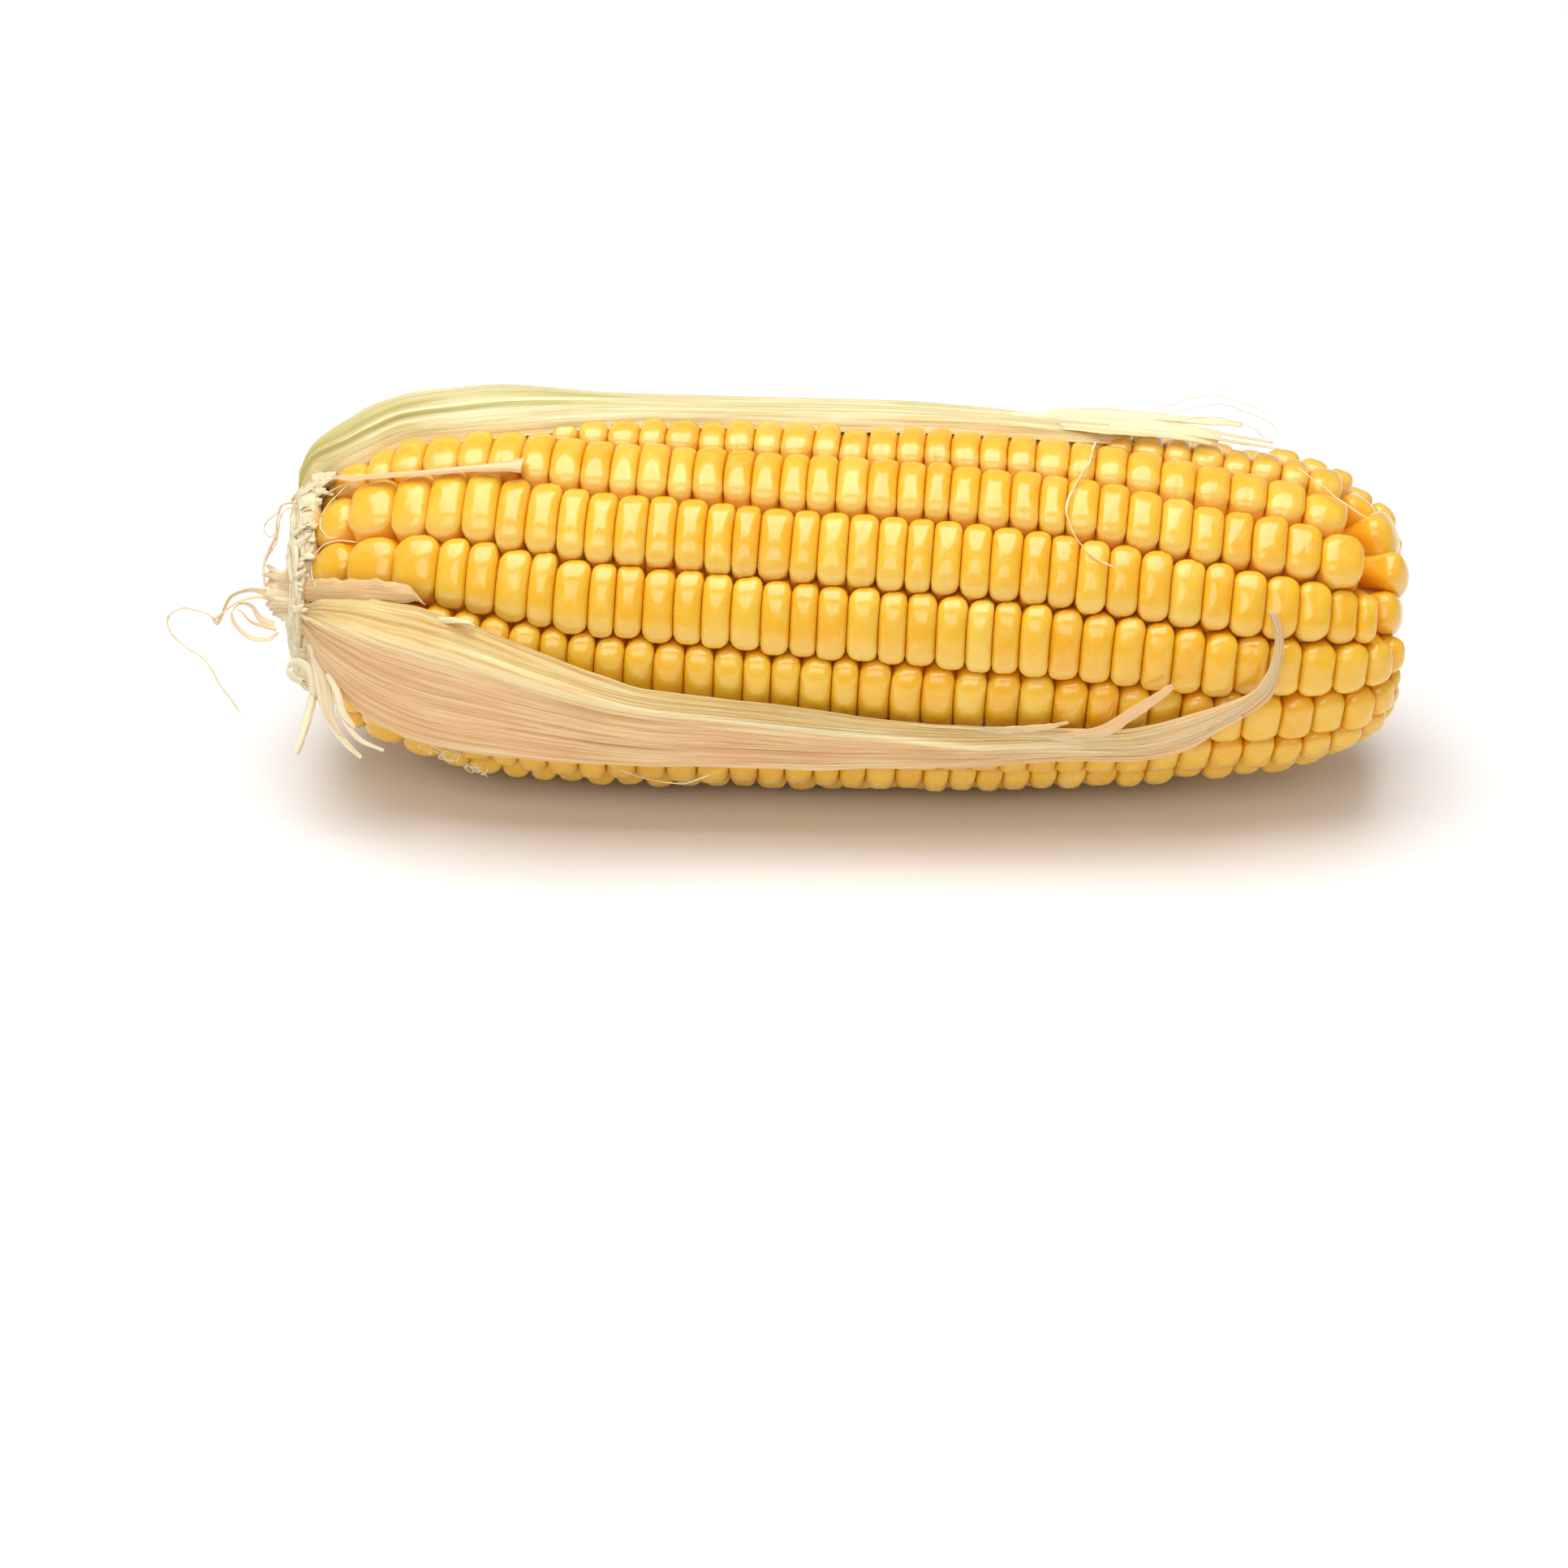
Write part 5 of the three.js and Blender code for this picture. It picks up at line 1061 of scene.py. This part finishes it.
    # Kernel rims left on the band: pale chaff at the foot of the first kernels.
    for k in range(22):
        b0 = rng.uniform(-180, 180)
        x0 = rng.uniform(-73.9, -73.0)
        r0 = float(leaf_r(x0)) + rng.uniform(-0.9, 0.1)
        pts = [(*round_ear(np.array(x0 + 1.0 * s_), b0 + dx * 6, np.array(r0 + 1.1 * s_)), 1.7 * (1.1 - 0.6 * s_), 0) for s_, dx in zip(np.linspace(0, 1, 4), rng.uniform(-0.3, 0.3, 4))]
        face = np.array([-0.7, -math.cos(math.radians(b0)), -math.sin(math.radians(b0))])
        parts.append(ribbon(pts, face, thick=0.14, nu=10, nv=4, curl=0.7, seed=500 + k, green=0.1, warm=0.15, pale=0.85))
    # Pale chaff left as a rim round the first kernels.
    for k, rim in enumerate([
        [(-66.8, -76.1), (-69.0, -76.1), (-71.0, -72.9), (-72.0, -67.6), (-72.0, -61.5), (-70.5, -52.8), (-69.1, -50.3)],
        [(-66.5, -47.1), (-69.1, -49.0), (-71.3, -49.4), (-72.6, -47.1), (-73.0, -40.9), (-72.7, -34.7), (-71.9, -30.1)],
        [(-73.9, -96.0), (-72.6, -88.0), (-71.4, -81.0), (-69.0, -77.5), (-66.0, -74.8)],
    ]):
        v_, f_, _ = tube([round_ear(np.array(x_), b_, leaf_r(x_) + (0.08 if k != 2 else 0.45)) for x_, b_ in rim], 0.09, n=80, seed=950 + k, wobble=0.10)
        parts.append((v_, f_, dict(lu=0, lv=0, green=0.05, warm=0.4, pale=0.6, dark=0)))
    # Fibres running round the band.
    for k in range(120):
        b0, span = rng.uniform(-180, 180), rng.uniform(16, 40)
        x0, r0 = rng.uniform(-75.9, -73.6), rng.uniform(12.7, 13.5)
        pts = []
        for s_ in np.linspace(0, 1, 6):
            b_ = b0 + span * s_
            sw = 1 + 0.15 * math.exp(-(((b_ + 100) / 42) ** 2))
            x_ = x0 + 0.5 * math.sin(3.0 * s_ + k)
            pts.append((*round_ear(np.array(x_), b_, np.array(r0 * sw * (1 - 0.10 * max(0.0, -75.2 - x_)) + 0.12)), rng.uniform(0.7, 1.2) * (1.1 - 0.6 * abs(2 * s_ - 1)), rng.uniform(-12, 12)))
        mid_b = math.radians(b0 + span / 2)
        parts.append(ribbon(pts, np.array([-0.35, -math.cos(mid_b), -math.sin(mid_b)]), thick=0.13, nu=24, nv=3, curl=0.3, seed=900 + k, green=float(rng.uniform(0.1, 0.55)), warm=float(rng.uniform(0, 0.4)), pale=float(rng.uniform(0.4, 0.9))))
    # Torn papery pieces between the band and the first kernels, by the root of the back leaf.
    for k, (x0_, u0_, o0_, x1_, u1_, o1_, w_) in enumerate([
        (-74.2, 15.2, 5.4, -70.8, 15.6, 7.6, 2.0), (-74.2, 14.2, 6.6, -71.4, 14.4, 8.6, 2.2), (-74.3, 13.0, 7.6, -71.8, 13.2, 9.6, 2.0), (-74.2, 11.6, 8.6, -72.2, 11.7, 10.4, 1.8),
        (-74.0, 16.2, 4.0, -70.2, 17.0, 5.6, 1.6), (-74.3, 8.8, 10.8, -72.5, 8.2, 12.2, 1.7), (-74.3, 7.0, 11.6, -72.6, 6.4, 12.9, 1.7), (-74.2, 4.6, 12.6, -72.6, 4.0, 13.6, 1.6),
        (-74.0, 15.0, 6.0, -70.0, 14.7, 9.0, 1.0), (-74.1, 13.6, 7.2, -70.6, 12.6, 10.6, 0.9)]):
        pts = [(*seen(x0_ + (x1_ - x0_) * s_, u0_ + (u1_ - u0_) * s_, o0_ + (o1_ - o0_) * s_ + 0.5 * math.sin(3.1 * s_)), w_ * (1.15 - 0.75 * s_), 12 * math.sin(2 * s_ + k)) for s_ in np.linspace(0, 1, 5)]
        parts.append(ribbon(pts, seen(0, 0.5, 1.0), thick=0.16, nu=24, nv=8, curl=0.5, seed=430 + k, rough=0.12, green=0.30 if k % 2 else 0.08, warm=0.35, pale=0.55))
    finish_piece("husk_collar_torn", parts, PAPER, "husk_collar")


collar()


# ------------------------------------------------------------------ woody core
def core():
    feet = [meridian(np.array(t_)) for t_ in np.linspace(0, T_END, 40)]
    prof = [(BUTT_X + 0.35, 0.0), (BUTT_X + 0.28, 2.0), (BUTT_X + 0.10, 4.2), (BUTT_X + 0.05, 6.0), (BUTT_X, 7.6), (BUTT_X + 0.10, 8.3), (BUTT_X + 0.45, 8.6), (BUTT_X + 1.4, 8.6), (float(feet[0][4]) - 2.0, 8.6)]
    prof += [(float(m[4]), float(m[5]) - 0.25) for m in feet]
    xl, rl = float(feet[-1][4]), float(feet[-1][5])
    prof += [(xl + 1.3, rl - 0.7), (xl + 2.4, rl - 1.4), (xl + 2.9, rl * 0.7), (xl + 2.7, rl * 0.45), (xl + 2.4, rl * 0.2), (xl + 2.3, 0.0)]
    prof = np.array(prof)
    d = np.concatenate([[0], np.cumsum(np.hypot(*np.diff(prof, axis=0).T))])
    n_p, n_a = 190, 160
    # More stations at the two cut ends.
    q = np.concatenate([np.linspace(0, d[9], 50), np.linspace(d[9], d[-7], 90)[1:], np.linspace(d[-7], d[-1], 52)[1:]])
    X, R = np.interp(q, d, prof[:, 0]), np.interp(q, d, prof[:, 1])
    n_p = len(q)
    ang = np.linspace(0, 360, n_a, endpoint=False)
    XX, AA = np.meshgrid(X, ang, indexing="ij")
    RR = np.repeat(R[:, None], n_a, 1)
    g = lattice(55, 90, 80)
    QQ = np.repeat(q[:, None], n_a, 1)
    tip = smooth(XX, xl - 1.0, xl + 1.0)
    butt = smooth(XX, BUTT_X + 1.2, BUTT_X + 0.2)
    bumpy = vnoise(g, QQ * 1.4, AA / 360 * 78)
    RR2 = RR + (0.18 + 0.45 * tip) * bumpy * (RR > 1.0) * (1 - butt)
    XX2 = XX + tip * (0.55 * vnoise(g, QQ * 1.9 + 7, AA / 360 * 40) + 0.35 * bumpy) * smooth(RR, 0.3, 2.0) + butt * 0.10 * vnoise(g, QQ * 3, AA / 360 * 60) * smooth(RR, 0.3, 2.0)
    P = round_ear(XX2, AA, np.maximum(RR2, 0.0))
    V = P[1:-1].reshape(-1, 3)
    V = np.concatenate([V, [[X[0], 0, 0]], [[X[-1], 0, 0]]])
    m_ = n_p - 2
    i, j = np.meshgrid(np.arange(m_ - 1), np.arange(n_a), indexing="ij")
    F = np.stack([i * n_a + j, i * n_a + (j + 1) % n_a, (i + 1) * n_a + (j + 1) % n_a, (i + 1) * n_a + j], -1).reshape(-1, 4)
    c = np.arange(n_a)
    T0 = np.stack([np.full(n_a, m_ * n_a), (c + 1) % n_a, c], -1)
    T1 = np.stack([np.full(n_a, m_ * n_a + 1), (m_ - 1) * n_a + c, (m_ - 1) * n_a + (c + 1) % n_a], -1)
    cut = np.concatenate([np.maximum(tip, butt)[1:-1].reshape(-1), [1, 1]])
    pith = np.concatenate([(smooth(RR, 5.2, 3.6) * np.maximum(tip, butt))[1:-1].reshape(-1), [1, 1]])
    parts = [(V, [F, np.concatenate([T0, T1])], dict(cut=cut, pith=pith))]
    # Papery scales where kernels of the trimmed end have come away.
    rng = np.random.default_rng(77)
    for k in range(90):
        rr = rl * math.sqrt(rng.uniform(0.12, 1.0))
        b0 = rng.uniform(0, 360)
        x0 = xl + 2.2 - 1.6 * (rr / rl) ** 3
        out = np.array([1.0, -math.cos(math.radians(b0)) * 0.9, -math.sin(math.radians(b0)) * 0.9])
        base = round_ear(np.array(x0), b0, np.array(rr))
        length = rng.uniform(1.0, 2.2)
        pts = [(*(base + out * length * s_ * 0.7 + np.array([0.25 * s_ * s_, 0, 0])), 1.5 * (1.05 - 0.75 * s_), 0) for s_ in np.linspace(0, 1, 4)]
        side = np.array([0.6, -math.cos(math.radians(b0)), -math.sin(math.radians(b0))])
        v_, f_, a_ = ribbon(pts, np.array([-0.8, side[1], side[2]]), thick=0.13, nu=8, nv=4, curl=0.8, seed=600 + k)
        parts.append((v_, f_, dict(cut=1.0, pith=float(rng.uniform(0.3, 1.0)))))
    finish_piece("cob_core_wood", parts, CORE, "cob_core")


core()


# ------------------------------------------------------------------ papery fibre at the butt
def fibres():
    cam_face = seen(0, 0.3, 1.0)

    def wave(rows, seed, thick=0.13, **kw):
        return ribbon([(*seen(x_, u_, o_), w_, tw_) for x_, u_, o_, w_, tw_ in rows], cam_face, thick=thick, nu=110, nv=5, seed=seed, rough=0.03, warm=0.55, pale=0.40, dark=0.08, **kw)

    U, V = np.meshgrid(np.linspace(0, 1, 71), np.linspace(0, 1, 61), indexing="ij")
    root_u, edge_u = 1.4 - 5.8 * V, np.interp(V, [0, 0.35, 0.75, 1], [3.2, 0.6, -2.9, -4.6])
    split = smooth(U, 0.35, 1.0) * (0.55 * np.abs(np.mod(V * 6.0 + 0.3, 1.0) - 0.5) * 2 + 0.3 * vnoise(lattice(701, 4, 40), 0 * U, V * 30))
    edge_x = np.interp(V, [0, 0.15, 0.5, 0.8, 1], [-80.0, -80.1, -79.9, -79.4, -77.7]) + 1.2 * split
    FX = -74.2 * (1 - U) + edge_x * U
    FU = root_u * (1 - U) + edge_u * U + 0.5 * np.sin(math.pi * U) * (V - 0.5)
    FO = 10.9 * (1 - U) + 9.3 * U + 0.55 * np.sin(V * 11 + 2 * U) * U + 0.35 * vnoise(lattice(702, 8, 8), U * 4, V * 6)
    P = np.stack([FX, -math.cos(VIEW_EL) * FO + math.sin(VIEW_EL) * FU, math.sin(VIEW_EL) * FO + math.cos(VIEW_EL) * FU], -1)
    fan = [sheet(P, 0.05 * vnoise(lattice(703, 8, 50), U * 3, V * 44), 0.12, dict(lu=U * 8, lv=V * 0.45, green=0, warm=0.55, pale=0.45 + 0.3 * smooth(V, 0.8, 1.0), dark=0.12 + 0.18 * smooth(vnoise(lattice(704, 6, 24), U * 3, V * 18), 0.1, 0.8)))]
    finish_piece("fibre_fan_torn", fan, PAPER, "fibre_fan")

    long_ = [wave([(-78.6, -0.8, 9.2, 0.9, 0), (-80.4, -0.5, 9.2, 0.8, 30), (-82.0, -0.4, 9.2, 0.7, 60), (-84.4, -1.4, 9.2, 0.7, 70), (-85.6, -4.0, 9.2, 0.6, 60), (-86.2, -5.0, 9.2, 0.5, 40), (-86.8, -4.1, 9.2, 0.45, 20)], 711),
             wave([(-78.4, -1.6, 9.6, 0.7, 0), (-80.6, -1.3, 9.8, 0.6, -20), (-83.0, -1.9, 9.8, 0.5, -30), (-85.0, -3.2, 9.6, 0.4, -20), (-86.4, -4.4, 9.4, 0.3, 0)], 712)]
    path = [(-86.2, -4.9, 9.3), (-86.8, -4.1, 9.2), (-88.7, -3.3, 9.1), (-90.6, -3.1, 9.0), (-92.3, -3.8, 9.0), (-92.8, -5.1, 9.0), (-92.2, -6.7, 9.0), (-89.8, -8.6, 9.1), (-87.3, -10.4, 9.2), (-85.6, -13.0, 9.4), (-83.7, -15.4, 9.6), (-82.3, -17.5, 9.8)]
    v_, f_, _ = tube([seen(*p_) for p_ in path], 0.17, n=150, seed=713, wobble=0.18)
    long_.append((v_, f_, dict(lu=0, lv=0, green=0, warm=0.55, pale=0.45, dark=0.10)))
    finish_piece("fibre_long_torn", long_, PAPER, "fibre_curl_long")

    short = [wave([(-78.4, -5.0, 9.6, 0.9, 0), (-80.3, -4.2, 9.4, 0.9, 25), (-81.6, -2.5, 9.2, 0.8, 60), (-83.2, -2.3, 9.2, 0.8, 95), (-84.2, -3.6, 9.2, 0.8, 120), (-83.4, -5.4, 9.2, 0.7, 150), (-81.5, -6.8, 9.4, 0.7, 175), (-79.2, -7.0, 9.6, 0.6, 190), (-77.7, -6.1, 9.8, 0.5, 200)], 721),
             wave([(-78.0, -5.6, 9.9, 0.6, 0), (-79.8, -5.2, 9.8, 0.6, 20), (-81.6, -4.6, 9.6, 0.5, 50), (-82.9, -3.3, 9.5, 0.5, 80), (-83.6, -3.0, 9.5, 0.3, 100)], 722)]
    finish_piece("fibre_short_torn", short, PAPER, "fibre_curl_short")

    tall = []
    for k, (rows, r_) in enumerate([
        ([(-74.9, 11.6, 8.0), (-76.2, 11.6, 8.6), (-77.8, 11.1, 9.0), (-78.2, 9.6, 9.0), (-78.5, 7.4, 9.0), (-79.2, 5.4, 9.0), (-80.0, 3.3, 9.0), (-79.9, 1.4, 9.2), (-79.6, -0.4, 9.4)], 0.19),
        ([(-78.0, 10.4, 9.0), (-78.9, 9.6, 9.1), (-79.7, 8.9, 9.2), (-80.0, 7.9, 9.2), (-79.6, 7.1, 9.2), (-78.9, 6.9, 9.1), (-78.6, 7.4, 9.0)], 0.12),
        ([(-75.2, 10.6, 8.8), (-76.8, 10.8, 9.3), (-77.6, 10.0, 9.5), (-78.0, 8.4, 9.4), (-78.4, 6.2, 9.2), (-79.4, 4.2, 9.1)], 0.11),
    ]):
        v_, f_, _ = tube([seen(*p_) for p_ in rows], r_, n=90, seed=730 + k, wobble=0.10)
        tall.append((v_, f_, dict(lu=0, lv=0, green=0, warm=0.5, pale=0.45, dark=0.22)))
    finish_piece("fibre_upright_torn", tall, PAPER, "fibre_upright")


fibres()


# ------------------------------------------------------------------ silk
def silks():
    def on_kernels(rows, r_, seed, n=110):
        pts = [round_ear(np.array(x_), b_, leaf_r(x_) + o_) for x_, b_, o_ in rows]
        v_, f_, _ = tube(pts, r_, n=n, seed=seed, wobble=0.12)
        return v_, f_, {}

    finish_piece("silk_a", [on_kernels([(31.1, -88.5, 0.55), (30.2, -77, 0.5), (28.5, -67.7, 0.5), (27.4, -59.3, 0.45), (27.8, -52.2, 0.5), (29.5, -45.7, 0.5), (31.9, -41.4, 0.5), (34.2, -39.0, 0.8)], 0.13, 801)], SILK, "silk_thread_1")
    finish_piece("silk_b", [on_kernels([(58.0, -89, 0.5), (60.2, -82, 0.5), (62.6, -76, 0.6), (65.2, -70, 1.0), (67.6, -66, 1.5)], 0.13, 802)], SILK, "silk_thread_2")
    loop = [on_kernels([(-31.2, 33, 0.9), (-29.0, 36, 1.2), (-26.0, 38.5, 1.4), (-23.0, 38.5, 1.5), (-20.6, 35.6, 1.4), (-18.6, 31, 1.5)], 0.12, 803)]
    # Tangles of silk at the lower left.
    rng = np.random.default_rng(12)
    for k in range(16):
        cx, cb = (-55.2 + rng.normal(0, 1.3), 36.0 + rng.normal(0, 2.2)) if k < 9 else (-51.6 + rng.normal(0, 1.4), 43.0 + rng.normal(0, 3.0))
        a0, rad_, n_ = rng.uniform(0, 6.28), rng.uniform(0.5, 1.5), 9
        pts = [(cx + rad_ * math.cos(a0 + 0.75 * j) * (1 - 0.05 * j), cb + 2.2 * rad_ * math.sin(a0 + 0.75 * j) * (1 - 0.06 * j), 0.7 + 0.25 * math.sin(j + k)) for j in range(n_)]
        loop.append(on_kernels(pts, 0.075, 810 + k, n=60))
    finish_piece("silk_c", loop, SILK, "silk_thread_3")


silks()


# ------------------------------------------------------------------ stage
def area(name, loc, target, size, power, color=(1, 1, 1)):
    d = bpy.data.lights.new(name, "AREA")
    d.shape = "RECTANGLE"
    d.size, d.size_y = size
    d.energy = power
    d.color = color
    o = bpy.data.objects.new(name, d)
    bpy.context.scene.collection.objects.link(o)
    o.location = loc
    o.rotation_euler = (Vector(target) - Vector(loc)).to_track_quat("-Z", "Y").to_euler()
    return o


def stage():
    me = bpy.data.meshes.new("floor")
    s = 6.0
    me.from_pydata([(-s, -s, 0), (s, -s, 0), (s, s, 0), (-s, s, 0)], [], [(0, 1, 2, 3)])
    floor = bpy.data.objects.new("floor", me)
    bpy.context.scene.collection.objects.link(floor)
    m, nt, b = new_material("floor_paper")
    b.inputs["Base Color"].default_value = (0.93, 0.93, 0.93, 1)
    b.inputs["Roughness"].default_value = 0.7
    me.materials.append(m)
    world = bpy.data.worlds.new("studio")
    bpy.context.scene.world = world
    world.use_nodes = True
    bg = world.node_tree.nodes["Background"]
    bg.inputs[0].default_value = (1, 1, 1, 1)
    bg.inputs[1].default_value = 0.30
    area("key", (-0.10, 0.0, 1.05), (-0.02, 0.0, 0.0), (1.0, 1.0), 12.0)
    area("front", (-0.15, -1.1, 0.92), (0, 0, 0.02), (1.0, 0.6), 4.8)
    scene = bpy.context.scene
    scene.view_settings.view_transform = "Standard"


stage()
